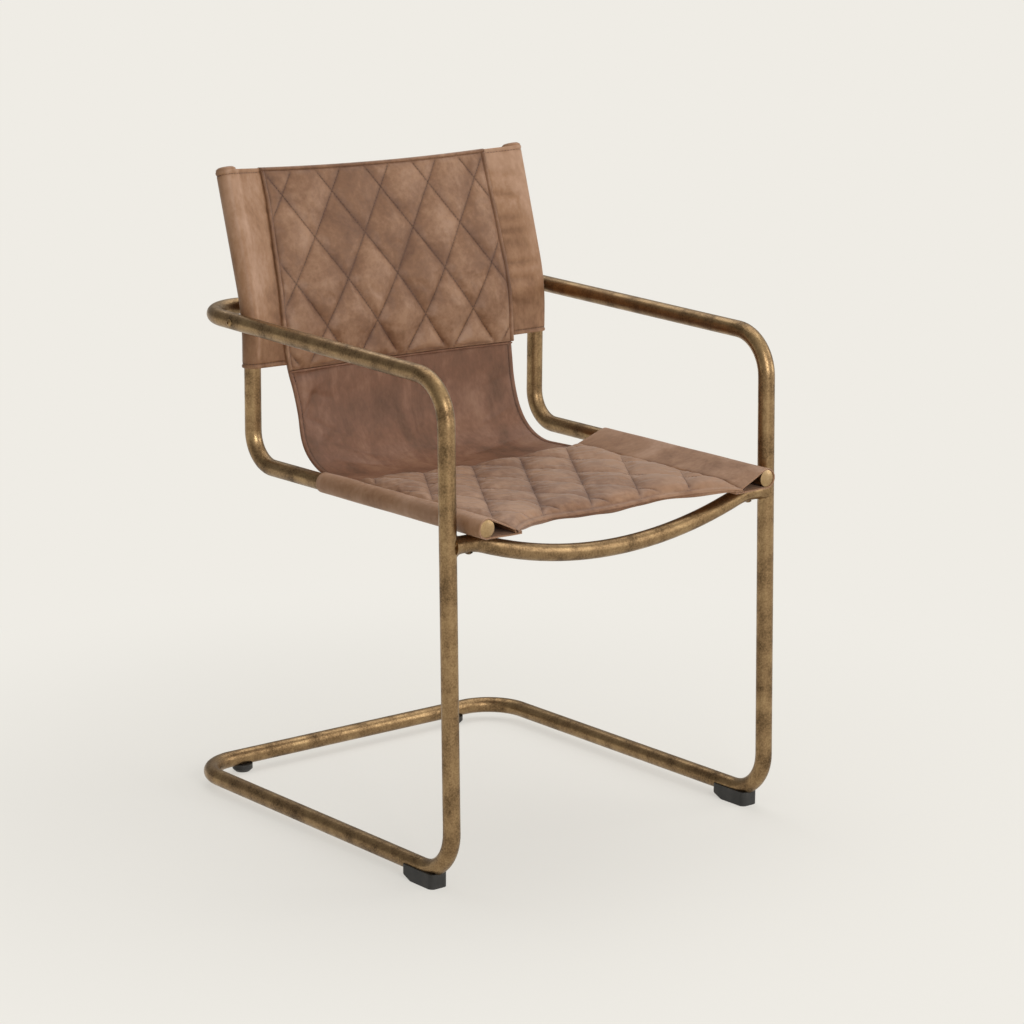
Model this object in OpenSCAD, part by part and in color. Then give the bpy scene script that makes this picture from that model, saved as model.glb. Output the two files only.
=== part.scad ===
// Sling armchair on a cantilever frame of bent tube.
// The chair faces -Y and stands on z = 0. The origin is under the middle of its overall box.
// Two tube halves make the base, the legs and the arms as one springing loop.
// A second pair of tubes makes the seat rails and the back posts, and a leather sling
// hangs between them on four sewn sleeves.

/* [Frame tube] */
// Outer diameter of every frame tube
tube_d = 22; // [20:0.5:24]
// Wall of every frame tube
tube_wall = 1.5; // [1.2:0.1:2.2]
// Width of the loop between the centre lines of its two sides
frame_w = 530; // [520:2:560]
// Length of the base from the line of the leg corners back to the base bar
base_l = 570; // [540:5:600]
// Height of the arm centre line above the floor at its front corner
arm_h = 642; // [630:2:655]
// Distance from the upright posts back to the bar that joins the arms behind them
arm_overhang = 94; // [88:1:102]
// Rise of the arms towards the back, in degrees
arm_rise = 1.45; // [0.8:0.05:2]
// Backward lean of the legs, in degrees
leg_lean = 1.55; // [1:0.05:2]
// Bend radius on the centre line at the foot and at the front of the arm
front_bend_r = 57; // [52:1:66]
// Bend radius on the centre line at the back of the base
base_bend_r = 60; // [52:1:70]
// Bend radius on the centre line at the back of the arms
arm_bend_r = 65; // [58:1:70]

/* [Seat rails and back posts] */
// Height of the seat rail centre line above the floor
rail_h = 463.5; // [461:0.5:466]
// Distance between the centre lines of the two back posts
post_w = 480; // [474:1:486]
// How far each rail runs in towards the middle at its front end
rail_toe = 7.5; // [5:0.5:10]
// How far the rails reach in front of the line of the leg corners
rail_reach = 22; // [18:1:30]
// Distance from the line of the leg corners back to the upright posts
post_back = 457; // [450:1:464]
// Bend radius on the centre line between rail and post
rail_bend_r = 44; // [40:1:50]
// Height at which the posts start to lean, at the corner of their two centre lines
kink_h = 658; // [652:1:664]
// Bend radius on the centre line at that corner
kink_r = 250; // [220:5:280]
// Backward lean of the posts above it, in degrees
back_lean = 17; // [15:0.5:19]
// Height of the cut top of the post tubes
post_top_h = 837; // [820:1:850]

/* [Stretcher] */
// Clearance between the ends of the stretcher and the leather round the rails above them
stretcher_gap = 0.2; // [0.1:0.05:0.4]
// How far the stretcher bows down in the middle
stretcher_bow = 39; // [30:1:44]
// Radius of the reverse bend at each end of the stretcher
stretcher_end_r = 78; // [65:1:90]
// Radius of the long bow of the stretcher
stretcher_r = 655; // [620:5:690]

/* [Feet] */
// Gap under the base tubes that the feet fill
foot_gap = 9; // [8:0.5:11]
// Length of a front foot block
front_foot_l = 62; // [56:1:68]
// Width of a front foot block
front_foot_w = 27; // [25:0.5:30]
// Height of a front foot block
front_foot_h = 19; // [17:0.5:20]
// Distance of the block's front face behind the line of the leg corners
front_foot_y = 25; // [20:1:30]
// Corner radius of a front foot block
front_foot_r = 7; // [5:0.5:10]
// Diameter of a rear glide
glide_d = 28; // [24:1:30]
// Distance of each rear glide from the middle of the chair
glide_x = 186; // [160:2:194]

/* [Leather] */
// Thickness of the leather of the sleeves
leather_t = 2; // [1.6:0.1:2.4]
// Clearance between leather and tube
leather_gap = 0.3; // [0.2:0.05:0.5]
// Clearance between two layers of leather or wadding
layer_gap = 0.3; // [0.2:0.05:0.5]
// Width of the sling between its folded edges
sling_w = 374; // [366:2:380]
// Thickness of the sling body
sling_t = 2.4; // [2:0.1:3]
// Thickness of the wadding under the quilted leather
wadding_t = 1.8; // [1.2:0.1:2.4]
// Thickness of a quilted panel along its stitch lines
quilt_t = 1.9; // [1.4:0.1:2.6]
// Height of the quilted cells of the seat above their stitch lines
seat_puff = 5; // [2:0.5:6]
// Height of the quilted cells of the back above their stitch lines
back_puff = 3.5; // [1:0.5:5]
// Width of one quilted diamond
diamond_w = 81; // [70:1:92]
// Length of one quilted diamond along the sling
diamond_l = 119; // [106:1:130]
// Distance of the first stitch crossings of the seat behind the line of the leg corners
seat_first_row = 58; // [50:1:66]
// Height of the upper stitch crossings of the back above the floor
back_first_row_h = 807; // [795:1:815]
// Length of the seam lip of a sleeve under the edge of the sling
lip_l = 11; // [8:1:14]
// How far the underside of the sling lies below the rail centre line at the edges of the seat
sling_drop = 9.5; // [9:0.25:10]
// Sag of the sling across the seat
seat_sag = 6; // [3:0.5:9]
// Sag of the sling across the lower back
back_sag = 8; // [4:0.5:10]
// Distance of the sling's back face in front of the centre of the posts
sling_front = 6.8; // [6:0.2:8]
// Radius of the sling where the seat turns up into the back
sling_r = 94; // [86:1:100]
// Length of the seat sleeves along the rails
seat_sleeve_l = 328; // [300:2:340]
// Height of the lower hem of the back sleeves above the floor
sleeve_low_h = 591; // [580:1:600]
// Height of the top hem of the sling and of its sleeves above the cut top of the post tubes
hem_rise = 5; // [4:0.5:7]
// Height of the seam under the quilted back panel above the floor
back_seam_h = 583; // [570:1:590]
// How far the front edge of the seat is cut back in the middle
front_cut = 54; // [40:1:64]
// Drop of the free front edge of the seat
edge_drop = 5; // [2:0.5:6]
// Dip of the top edge of the back in the middle
top_dip = 4; // [2:0.5:6]
// Diameter of the piping under the quilted back panel
piping_d = 3.4; // [2.6:0.1:4]

/* [Fasteners] */
// Thread diameter of the frame bolts
bolt_d = 6; // [5:0.5:7]
// Head diameter of the frame bolts
bolt_head_d = 10.5; // [9:0.5:12]
// Thread diameter of the foot screws
screw_d = 4; // [3.5:0.25:4.5]
// Outer diameter of the rivet nuts in the rails and posts
nut_d = 9; // [8.4:0.2:10]

/* [Hidden] */
$fn = 64;

brass = "#8a6f42";
brass_light = "#a98f63";
black = "#2c2b29";
steel = "#8f8c86";
tan_leather = "#9c7558";
brown_leather = "#7f5f4e";
felt = "#b9b2a4";

// The plug at the front of each rail is the foremost point of the chair
plug_flange = 2;
plug_dome = 1.6;
front_reach = rail_reach + plug_flange + plug_dome;
depth = front_reach + base_l + tube_d / 2;
// The line of the leg corners, from which the frame is laid out
leg_y = front_reach - depth / 2;

tube_r = tube_d / 2;
bore_r = tube_r - tube_wall;
side_x = frame_w / 2;
post_x = post_w / 2;
base_h = foot_gap + tube_r;
// The stretcher lies under the leather of the rails, and the leather ends above the posts
stretcher_h = rail_h - tube_d - leather_gap - leather_t - stretcher_gap;
sling_h = rail_h - sling_drop;
back_top_h = post_top_h + hem_rise;
// Slip fit between pieces that nest, and the overlap of a cutting or joining shape
press = 0.05;
bite = 0.5;
// How far a straight runs into a bend, and how much thicker the wall is there on each face
lap = 1;
swell = 0.04;

// Unit vector of v
function unit(v) = v / norm(v);
// Angle between two directions
function turn(a, b) = acos(max(-1, min(1, unit(a) * unit(b))));
// Direction of the leg of route p that starts at point i
function heading(p, i) = unit(p[i + 1] - p[i]);
// Length that the bend of radius r takes off each leg at point i
function cutback(p, r, i) =
    i == 0 || i == len(p) - 1 ? 0 : r[i] * tan(turn(heading(p, i - 1), heading(p, i)) / 2);

// Puts the local Z axis on direction w and the local X axis on direction u, at point c
module aim(c, u, w) {
    v = cross(w, u);
    multmatrix([[u.x, v.x, w.x, c.x], [u.y, v.y, w.y, c.y], [u.z, v.z, w.z, c.z], [0, 0, 0, 1]])
        children();
}

// Round tube along route p, which turns with radius radii[i] at each inner point
module tube_along(p, radii, r, bore) {
    for (i = [0 : len(p) - 2]) {
        w = heading(p, i);
        a = p[i] + w * (cutback(p, radii, i) - lap_at(p, i));
        b = p[i + 1] - w * (cutback(p, radii, i + 1) - lap_at(p, i + 1));
        aim(a, bend_normal(p, i), w) linear_extrude(height = norm(b - a)) ring_section(r, bore);
    }
    for (i = [1 : 1 : len(p) - 2]) {
        w = heading(p, i - 1);
        n = bend_normal(p, i);
        inward = cross(n, w);
        centre = p[i] - w * cutback(p, radii, i) + inward * radii[i];
        aim(centre, -inward, n) rotate_extrude(angle = turn(w, heading(p, i)))
            translate([radii[i], 0]) ring_section(r + swell, bore - swell);
    }
}
// How far the straights at point i of route p run into its bend
function lap_at(p, i) = i == 0 || i == len(p) - 1 ? 0 : lap;

// Normal of the plane in which route p turns at point i, or at its nearest bend
function bend_normal(p, i) =
    let (k = max(1, min(len(p) - 2, i)))
    unit(cross(heading(p, k - 1), heading(p, k)));

// Section of a round tube
module ring_section(r, bore) {
    difference() {
        circle(r = r);
        if (bore > 0) circle(r = bore);
    }
}

// The route of one half of the loop; side is -1 on the left and 1 on the right
arm_front_y = leg_y + (arm_h - base_h) * tan(leg_lean);
arm_back_y = leg_y + post_back + arm_overhang;
function arm_z(y) = arm_h + (y - arm_front_y) * tan(arm_rise);
function side_route(side) = [
    [0, leg_y + base_l, base_h],
    [side * side_x, leg_y + base_l, base_h],
    [side * side_x, leg_y, base_h],
    [side * side_x, arm_front_y, arm_h],
    [side * side_x, arm_back_y, arm_z(arm_back_y)],
    [0, arm_back_y, arm_z(arm_back_y)]];
side_radii = [0, base_bend_r, front_bend_r, front_bend_r, arm_bend_r, 0];

// The route of one seat rail and back post
post_y = leg_y + post_back;
rail_front_x = post_x - rail_toe;
rail_front_y = leg_y - rail_reach;
post_top_y = post_y + (post_top_h - kink_h) * tan(back_lean);
function rail_route(side) = [
    [side * rail_front_x, rail_front_y, rail_h],
    [side * post_x, post_y, rail_h],
    [side * post_x, post_y, kink_h],
    [side * post_x, post_top_y, post_top_h]];
rail_radii = [0, rail_bend_r, kink_r, 0];
function rail_dir(side) = heading(rail_route(side), 0);
post_dir = [0, sin(back_lean), cos(back_lean)];
// Distance along X of a rail's centre line from the middle at depth y
function rail_x(y) = rail_front_x + rail_toe * (y - rail_front_y) / (post_y - rail_front_y);

// The bolts that hold the posts to the arms, and the rails to the stretcher
arm_bolt_y = post_y + 0.5;
arm_bolt_z = arm_z(arm_bolt_y);
stretcher_y = leg_y + (stretcher_h - base_h) * tan(leg_lean);
rail_bolt_x = rail_x(stretcher_y);
bolt_clear = 0.3;
head_h = 2.4;
socket_d = 4;
socket_depth = 1.8;
// How far a bolt ends short of the end of its nut
thread_end = 3;
nut_l = 13;
nut_rim = 1.1;
nut_flange_d = nut_d + 2 * nut_rim;
nut_flange_t = 0.8;
nut_seat = nut_flange_t / 2;
arm_head_x = side_x + tube_r;
rail_nut_z = rail_h - tube_r;
arm_nut_x = post_x + tube_r + swell;

// A pipe joint inside the two halves: a short tube that fills their bores
spigot_l = 70;
spigot_wall = 2;

// One half of the loop
module side_tube(side) {
    difference() {
        tube_along(side_route(side), side_radii, tube_r, bore_r);
        translate([side * side_x, arm_bolt_y, arm_bolt_z]) rotate([0, 90, 0])
            cylinder(d = bolt_d + 2 * bolt_clear, h = 2 * tube_d, center = true);
        for (spot = [front_screw_spot(side), rear_screw_spot(side)])
            translate(spot) cylinder(d = screw_d + 2 * bolt_clear, h = tube_d, center = true);
    }
}

module left_side_tube() color(brass) side_tube(-1);
module right_side_tube() color(brass) side_tube(1);

module joint_spigot(y, z) {
    translate([-spigot_l / 2, y, z]) rotate([0, 90, 0])
        linear_extrude(height = spigot_l) ring_section(bore_r - press, bore_r - spigot_wall);
}

module base_joint_spigot() color(steel) joint_spigot(leg_y + base_l, base_h);
module arm_joint_spigot() color(steel) joint_spigot(arm_back_y, arm_z(arm_back_y));

// The stretcher runs between the legs: level at its ends, then a reverse bend into the bow.
// Its ends are coped to the legs and carry a small weld shoulder.
stretcher_turn = acos(1 - stretcher_bow / (stretcher_r + stretcher_end_r));
stretcher_bend_x = (stretcher_r + stretcher_end_r) * sin(stretcher_turn);
weld_leg = 2.5;
weld_r = tube_r + weld_leg;
weld_l = 5;
// The ends of the tube wrap half way round the legs
wrap = tube_r / 2;
// Draws in the plane of the stretcher, with the side towards +X
module in_stretcher_plane(side)
    mirror([side < 0 ? 1 : 0, 0, 0]) translate([0, stretcher_y, 0]) rotate([90, 0, 0]) children();
module stretcher_half(side) {
    in_stretcher_plane(side) {
        translate([stretcher_bend_x, stretcher_h - stretcher_end_r]) rotate(90)
            rotate_extrude(angle = stretcher_turn)
                translate([stretcher_end_r, 0]) ring_section(tube_r + swell, bore_r - swell);
        translate([stretcher_bend_x - lap, stretcher_h]) rotate([0, 90, 0])
            linear_extrude(height = side_x - wrap - stretcher_bend_x + lap)
                ring_section(tube_r, bore_r);
        translate([side_x - tube_r - weld_l, stretcher_h]) rotate([0, 90, 0]) difference() {
            cylinder(r1 = tube_r - press, r2 = weld_r, h = weld_l + tube_r - wrap);
            translate([0, 0, -bite]) cylinder(r = bore_r, h = tube_d);
        }
    }
}
module front_stretcher() color(brass) difference() {
    union() {
        bow_turn = stretcher_turn + lap_turn;
        in_stretcher_plane(1) translate([0, stretcher_h - stretcher_bow + stretcher_r])
            rotate(-90 - bow_turn) rotate_extrude(angle = 2 * bow_turn)
                translate([stretcher_r, 0]) ring_section(tube_r, bore_r);
        for (side = [-1, 1]) stretcher_half(side);
    }
    for (side = [-1, 1]) {
        leg_tube(side, tube_r + press);
        translate([side * rail_bolt_x, stretcher_y, stretcher_h])
            cylinder(d = bolt_d + 2 * bolt_clear, h = 2 * tube_d, center = true);
    }
}
// Turn of the bow that laps into each reverse bend
lap_turn = lap / stretcher_r * 180 / PI;
// Solid bar along one leg, to cope the stretcher to
module leg_tube(side, r) {
    foot = side_route(side)[2];
    top = side_route(side)[3];
    aim(foot, [1, 0, 0], unit(top - foot)) cylinder(r = r, h = norm(top - foot));
}

// Seat rail and back post, bent from one tube
module seat_back_tube(side) {
    difference() {
        tube_along(rail_route(side), rail_radii, tube_r, bore_r);
        translate([side * rail_bolt_x, stretcher_y, rail_nut_z])
            cylinder(r = nut_d / 2 + press, h = tube_r, center = true);
        translate([side * arm_nut_x, arm_bolt_y, arm_bolt_z]) rotate([0, 90, 0])
            cylinder(r = nut_d / 2 + press, h = tube_r, center = true);
    }
}
module left_seat_back_tube() color(brass) seat_back_tube(-1);
module right_seat_back_tube() color(brass) seat_back_tube(1);

// Shallow dome of rim radius r and height h on the plane z = 0
module dome(r, h) {
    ball_r = (r * r + h * h) / (2 * h);
    intersection() {
        translate([0, 0, h - ball_r]) sphere(r = ball_r, $fn = 240);
        translate([0, 0, -bite]) cylinder(r = r, h = h + 2 * bite);
    }
}
// Domed plug with a flange over the tube's cut end and a stem in its bore
module tube_plug(flange, rise, stem) {
    translate([0, 0, -stem]) cylinder(r = bore_r - press, h = stem + bite);
    cylinder(r = tube_r, h = flange);
    translate([0, 0, flange]) dome(tube_r, rise);
}
plug_stem = 16;
module rail_plug(side) {
    w = -rail_dir(side);
    aim(rail_route(side)[0], unit(cross([0, 0, 1], w)), w) tube_plug(plug_flange, plug_dome, plug_stem);
}
module left_rail_plug() color(brass_light) rail_plug(-1);
module right_rail_plug() color(brass_light) rail_plug(1);

// The post plugs lie under the caps of leather
post_flange = 1.5;
post_dome = 1.5;
module post_plug(side)
    aim(rail_route(side)[3], [1, 0, 0], post_dir) tube_plug(post_flange, post_dome, plug_stem);
module left_post_plug() color(black) post_plug(-1);
module right_post_plug() color(black) post_plug(1);

// Front foot: a block with rounded corners, hollowed on top to the shape of the tube's bend
foot_clear = 0.1;
foot_socket_h = 5;
// The underside slopes up towards the back end
heel_l = 19;
heel_rise = 8;
screw_head_d = 8;
// The screw stands behind the end of the bend
front_screw_gap = 6;
function front_screw_spot(side) =
    [side * side_x, leg_y + front_bend_r + front_screw_gap, base_h - tube_r];
module front_foot(side) {
    difference() {
        translate([side * side_x, leg_y + front_foot_y, 0])
            linear_extrude(height = front_foot_h) foot_outline();
        tube_along(side_route(side), side_radii, tube_r + foot_clear, 0);
        heel = leg_y + front_foot_y + front_foot_l;
        translate([side * side_x - front_foot_w, 0, 0]) rotate([90, 0, 90])
            linear_extrude(height = 2 * front_foot_w)
                polygon([[heel - heel_l, 0], [heel, heel_rise], [heel + bite, heel_rise],
                         [heel + bite, -bite], [heel - heel_l, -bite]]);
        translate(front_screw_spot(side)) screw_hole(foot_gap);
    }
}
module foot_outline() {
    w = front_foot_w / 2 - front_foot_r;
    for (x = [-w, w], y = [front_foot_r, front_foot_l - front_foot_r])
        translate([x, y]) circle(r = front_foot_r);
    translate([-front_foot_w / 2, front_foot_r])
        square([front_foot_w, front_foot_l - 2 * front_foot_r]);
    translate([-w, 0]) square([2 * w, front_foot_l]);
}
// Hole for a foot screw below its spot on the tube, with room for its head
module screw_hole(depth) {
    translate([0, 0, -2 * depth]) cylinder(d = screw_d + 2 * bolt_clear, h = 3 * depth);
    translate([0, 0, -depth - bite])
        cylinder(d = screw_head_d + 2 * bolt_clear, h = foot_socket_h + bite);
}
module left_front_foot() color(black) front_foot(-1);
module right_front_foot() color(black) front_foot(1);

// Rear glide: a round pad that widens upwards, hollowed on top to seat on the base bar
glide_chamfer = 4;
glide_grip = 2;
function rear_screw_spot(side) = [side * glide_x, leg_y + base_l, base_h - tube_r];
module rear_glide(side) {
    difference() {
        translate([side * glide_x, leg_y + base_l, 0]) {
            cylinder(d1 = glide_d - 2 * glide_chamfer, d2 = glide_d, h = glide_chamfer);
            translate([0, 0, glide_chamfer])
                cylinder(d = glide_d, h = foot_gap + glide_grip - glide_chamfer);
        }
        translate([0, leg_y + base_l, base_h]) rotate([0, 90, 0])
            cylinder(r = tube_r + foot_clear, h = frame_w, center = true);
        translate(rear_screw_spot(side)) screw_hole(foot_gap);
    }
}
module left_rear_glide() color(black) rear_glide(-1);
module right_rear_glide() color(black) rear_glide(1);

// Self-tapping pan-head screws that hold the feet to the tube
screw_l = 14;
screw_head_h = 2.6;
slot_w = 1;
slot_depth = 1.4;
module foot_screw() {
    shoulder = foot_socket_h - foot_gap;
    translate([0, 0, shoulder - bite]) cylinder(d = screw_d, h = screw_l + bite);
    difference() {
        translate([0, 0, shoulder - screw_head_h]) cylinder(d = screw_head_d, h = screw_head_h);
        for (a = [0, 90]) rotate(a)
            translate([-screw_head_d / 4, -slot_w / 2, shoulder - screw_head_h - bite])
                cube([screw_head_d / 2, slot_w, bite + slot_depth]);
    }
}
module foot_screws() color(steel)
    for (side = [-1, 1], spot = [front_screw_spot(side), rear_screw_spot(side)])
        translate(spot) foot_screw();

// Low domed bolt with a hexagon socket; it points along its local -Z from under its head
module dome_bolt(length) {
    translate([0, 0, -length]) cylinder(d = bolt_d, h = length + bite);
    difference() {
        intersection() {
            dome(bolt_head_d / 2, head_h);
            cylinder(d = bolt_head_d, h = head_h + bite);
        }
        translate([0, 0, head_h - socket_depth])
            cylinder(d = socket_d, h = socket_depth + bite, $fn = 6);
    }
}
// The arm bolts pass through the arm and the sleeve into the nut in the post
arm_bolt_l = arm_head_x - arm_nut_x + nut_l - thread_end;
module arm_bolts() color(brass_light)
    for (side = [-1, 1]) translate([side * arm_head_x, arm_bolt_y, arm_bolt_z])
        rotate([0, side * 90, 0]) dome_bolt(arm_bolt_l);

// The rail bolts pass up through the stretcher and the sleeve into the nut in the rail. The head bears
// on the start of the reverse bend, a little below the level end.
head_reach = max(0, stretcher_bend_x - rail_bolt_x + bolt_head_d / 2);
rail_head_z = stretcher_h - tube_r - swell - pow(head_reach, 2) / (2 * (stretcher_end_r - tube_r));
rail_bolt_l = rail_nut_z - rail_head_z + nut_l - thread_end;
module rail_bolts() color(brass_light)
    for (side = [-1, 1]) translate([side * rail_bolt_x, stretcher_y, rail_head_z])
        rotate([180, 0, 0]) dome_bolt(rail_bolt_l);

// Rivet nuts: a thin flange outside the tube's wall and a threaded barrel inside it
module rivet_nut() {
    difference() {
        union() {
            translate([0, 0, -nut_flange_t / 2]) cylinder(d = nut_flange_d, h = nut_flange_t);
            translate([0, 0, -nut_l]) cylinder(d = nut_d, h = nut_l);
        }
        translate([0, 0, -nut_l - bite]) cylinder(d = bolt_d + press, h = 2 * nut_l);
    }
}
module rivet_nuts() color(steel)
    for (side = [-1, 1]) {
        translate([side * rail_bolt_x, stretcher_y, rail_nut_z - nut_seat])
            rotate([180, 0, 0]) rivet_nut();
        translate([side * (arm_nut_x + nut_seat), arm_bolt_y, arm_bolt_z])
            rotate([0, side * 90, 0]) rivet_nut();
    }

// The sling's back face runs along one curve, from the front of the seat to the top of the
// back. Its heading is a table of [length along the curve, degrees above level], and a
// straight change of heading is a round bend.
sleeve_lead = 3;
seat_front_y = rail_front_y - sleeve_lead;
sleeve_end_y = seat_front_y + seat_sleeve_l;
// Behind its sleeves the seat dips by a few degrees, over a short length
dip = 2;
dip_l = 30;
upright_y = post_y - sling_front;
sling_kink_r = kink_r + sling_front;
kink_start_z = kink_h - kink_r * tan(back_lean / 2);
kink_end_z = kink_start_z + sling_kink_r * sin(back_lean);
flat_l = sleeve_end_y - dip_l / 2 - seat_front_y;
slope_l = (upright_y - sleeve_end_y - sling_r * (1 + sin(dip))) / cos(dip) - dip_l / 2;
up_start = flat_l + dip_l + slope_l;
up_end = up_start + sling_r * (90 + dip) * PI / 180;
up_end_z = sling_h - (slope_l + dip_l / 2) * sin(dip) + sling_r * cos(dip);
lean_start = up_end + kink_start_z - up_end_z;
lean_end = lean_start + sling_kink_r * back_lean * PI / 180;
sling_l = lean_end + (back_top_h - kink_end_z) / cos(back_lean);
tail = 50;
headings = [[0, 0], [flat_l, 0], [flat_l + dip_l, -dip], [up_start, -dip], [up_end, 90],
            [lean_start, 90], [lean_end, 90 - back_lean], [sling_l + tail, 90 - back_lean]];
step = 4;
stations = [for (s = [0 : step : sling_l + step]) s];
// Running sums of the steps give the curve's y and z
function running(f, i = 0, total = 0) =
    i > len(stations) - 1 ? []
    : concat([[stations[i], total]],
             running(f, i + 1, total + step * f[i]));
mid_headings = [for (s = stations) lookup(s + step / 2, headings)];
curve_y = running([for (a = mid_headings) cos(a)]);
curve_z = running([for (a = mid_headings) sin(a)]);
// Length along the curve at a height in the back
function s_at_height(h) =
    h < kink_h ? up_end + h - up_end_z : lean_end + (h - kink_end_z) / cos(back_lean);
// Length along the curve at a depth in the seat
function s_at_depth(y) = y - seat_front_y;

half_w = sling_w / 2;
// The sling stays flat over the lips of its sleeves
flat_x = half_w - lip_l - 1;

// Columns of the quilted panels fall on the stitch crossings, with the folded edges outside
cells = 3;
col = diamond_w / 2 / cells;
row = diamond_l / 2 / cells;
side_cols = floor(flat_x / col + 0.1);
quilt_xs = concat([-half_w], [for (i = [-side_cols : side_cols]) i * col], [half_w]);
// Every third column carries the plainer layers
plain_cols = floor(side_cols / cells);
plain_xs = concat([-half_w, -side_cols * col], [for (i = [-plain_cols : plain_cols]) i * cells * col],
                  [side_cols * col, half_w]);
// Between its flat edges it sags, and hollow is the share of the sag at x
hollow_table = [for (c = plain_xs) [c, max(0, 1 - pow(c / flat_x, 2))]];
function hollow(x) = lookup(x, hollow_table);
// Sag across the sling at length s: full in the seat and the lower back, none at the top
sags = [[0, seat_sag], [up_start, seat_sag], [up_end, back_sag],
        [s_at_height(back_seam_h), back_sag], [s_at_height(kink_h + tail), 1], [sling_l + tail, 0]];
// The free front edge droops over this length
droop_l = 45;
function droop(s, x) =
    let (d = s - front_edge_s(x))
    d > droop_l ? 0 : edge_drop * hollow(x) * pow(1 - max(0, d) / droop_l, 2);
// The front edge is straight in the middle and curves forward to its corners
front_flat_x = 80;
front_curve = 1.6;
function front_cut_at(x) =
    abs(x) < front_flat_x ? front_cut
    : front_cut * (1 - pow((abs(x) - front_flat_x) / (half_w - front_flat_x), front_curve));
front_table = [for (c = plain_xs) [c, front_cut_at(c)]];
function front_edge_s(x) = lookup(x, front_table);
// The top edge dips in the middle
function top_edge_s(x) = sling_l - top_dip * (1 - pow(x / half_w, 2));

// A point at length s along the sling, x across it and t in front of its back face
function sling_point(s, x, t) =
    let (a = lookup(s, headings),
         off = t - lookup(s, sags) * hollow(x) - droop(s, x))
    [x, seat_front_y + lookup(s, curve_y) - off * sin(a), sling_h + lookup(s, curve_z) + off * cos(a)];

// A closed sheet over the grid of columns xs and rows of lengths. The lower face lies at t0
// and the upper face at t1 plus the puff of the quilting.
module sheet(xs, rows, t0, t1, puff = 0, phase = 0) {
    nx = len(xs);
    ns = len(rows);
    lower = [for (j = [0 : ns - 1], i = [0 : nx - 1]) sling_point(rows[j][i], xs[i], t0)];
    upper = [for (j = [0 : ns - 1], i = [0 : nx - 1])
        let (s = rows[j][i], rim = i == 0 || i == nx - 1 || j == 0 || j == ns - 1)
        sling_point(s, xs[i], t1 + (rim ? 0 : puff * puff_shape(xs[i], s - phase)))];
    // Corner i of row j, on the lower or the upper face
    function low(j, i) = j * nx + i;
    function top(j, i) = nx * ns + low(j, i);
    function split(a, b, c, d, flip) = flip ? [[a, b, c], [a, c, d]] : [[a, b, d], [b, c, d]];
    // The diagonal of each cell follows the stitch line through it
    function flip_at(j, i) =
        puff_diagonal(xs[i], xs[i + 1], rows[j][i] - phase, rows[j + 1][i] - phase);
    cell_rows = [0 : ns - 2];
    cell_cols = [0 : nx - 2];
    last_row = ns - 1;
    last_col = nx - 1;
    quads = concat(
        [for (j = cell_rows, i = cell_cols)
            [top(j, i), top(j + 1, i), top(j + 1, i + 1), top(j, i + 1), flip_at(j, i)]],
        [for (j = cell_rows, i = cell_cols)
            [low(j, i), low(j, i + 1), low(j + 1, i + 1), low(j + 1, i), flip_at(j, i)]],
        [for (i = cell_cols) [low(0, i), top(0, i), top(0, i + 1), low(0, i + 1), true]],
        [for (i = cell_cols) [low(last_row, i), low(last_row, i + 1),
                              top(last_row, i + 1), top(last_row, i), true]],
        [for (j = cell_rows) [low(j, 0), low(j + 1, 0), top(j + 1, 0), top(j, 0), true]],
        [for (j = cell_rows) [low(j, last_col), top(j, last_col),
                              top(j + 1, last_col), low(j + 1, last_col), true]]);
    faces = [for (q = quads, f = split(q[0], q[1], q[2], q[3], q[4])) f];
    polyhedron(points = concat(lower, upper), faces = faces);
}
// Height of a quilted cell: 0 on the crossing stitch lines and 1 in the middle of a diamond
puff_power = 0.6;
function stitch_wave(x, s, side) = abs(sin(180 * (x / diamond_w + side * s / diamond_l)));
function puff_shape(x, s) = pow(stitch_wave(x, s, 1) * stitch_wave(x, s, -1), puff_power);
// True where the stitch line rises to the right through a cell
function puff_diagonal(x0, x1, s0, s1) =
    let (x = (x0 + x1) / 2, s = (s0 + s1) / 2) stitch_wave(x, s, -1) < stitch_wave(x, s, 1);

// Rows of lengths, one length for each column. The inner rows fall on the crossings, and the
// rows at the two ends follow the edges.
end_rows = 3;
function blend(a, b, k) = a + (b - a) * k;
function front_rows(xs, last) =
    [for (k = [0 : end_rows - 1]) [for (x = xs) blend(front_edge_s(x), last, k / end_rows)]];
function mid_rows(xs, first, count, gap) = [for (k = [0 : count]) [for (x = xs) first + gap * k]];
function top_rows(xs, first) =
    [for (k = [1 : end_rows]) [for (x = xs) blend(first, top_edge_s(x), k / end_rows)]];

// The seat's first row of crossings, and the back's first row under the top edge
seat_cross_s = s_at_depth(leg_y + seat_first_row);
back_cross_s = s_at_height(back_first_row_h);
seat_quilt_end = s_at_depth(sleeve_end_y);
back_quilt_start = s_at_height(back_seam_h);
seat_rows_n = round((seat_quilt_end - seat_cross_s) / row) - 1;
back_rows_n = round((back_cross_s - back_quilt_start) / row) - 1;
back_first = back_cross_s - back_rows_n * row;
plain_n = 12;
function seat_rows(xs) = concat(front_rows(xs, seat_cross_s), mid_rows(xs, seat_cross_s, seat_rows_n, row),
                                [[for (x = xs) seat_quilt_end]]);
function back_rows(xs) = concat([[for (x = xs) back_quilt_start]],
                                mid_rows(xs, back_first, back_rows_n, row), top_rows(xs, back_cross_s));

quilt_t0 = sling_t + layer_gap + wadding_t + layer_gap;
module quilted_seat() color(brown_leather)
    sheet(quilt_xs, seat_rows(quilt_xs), quilt_t0, quilt_t0 + quilt_t, seat_puff, seat_cross_s);
module quilted_back() color(brown_leather)
    sheet(quilt_xs, back_rows(quilt_xs), quilt_t0, quilt_t0 + quilt_t, back_puff, back_cross_s);

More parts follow.
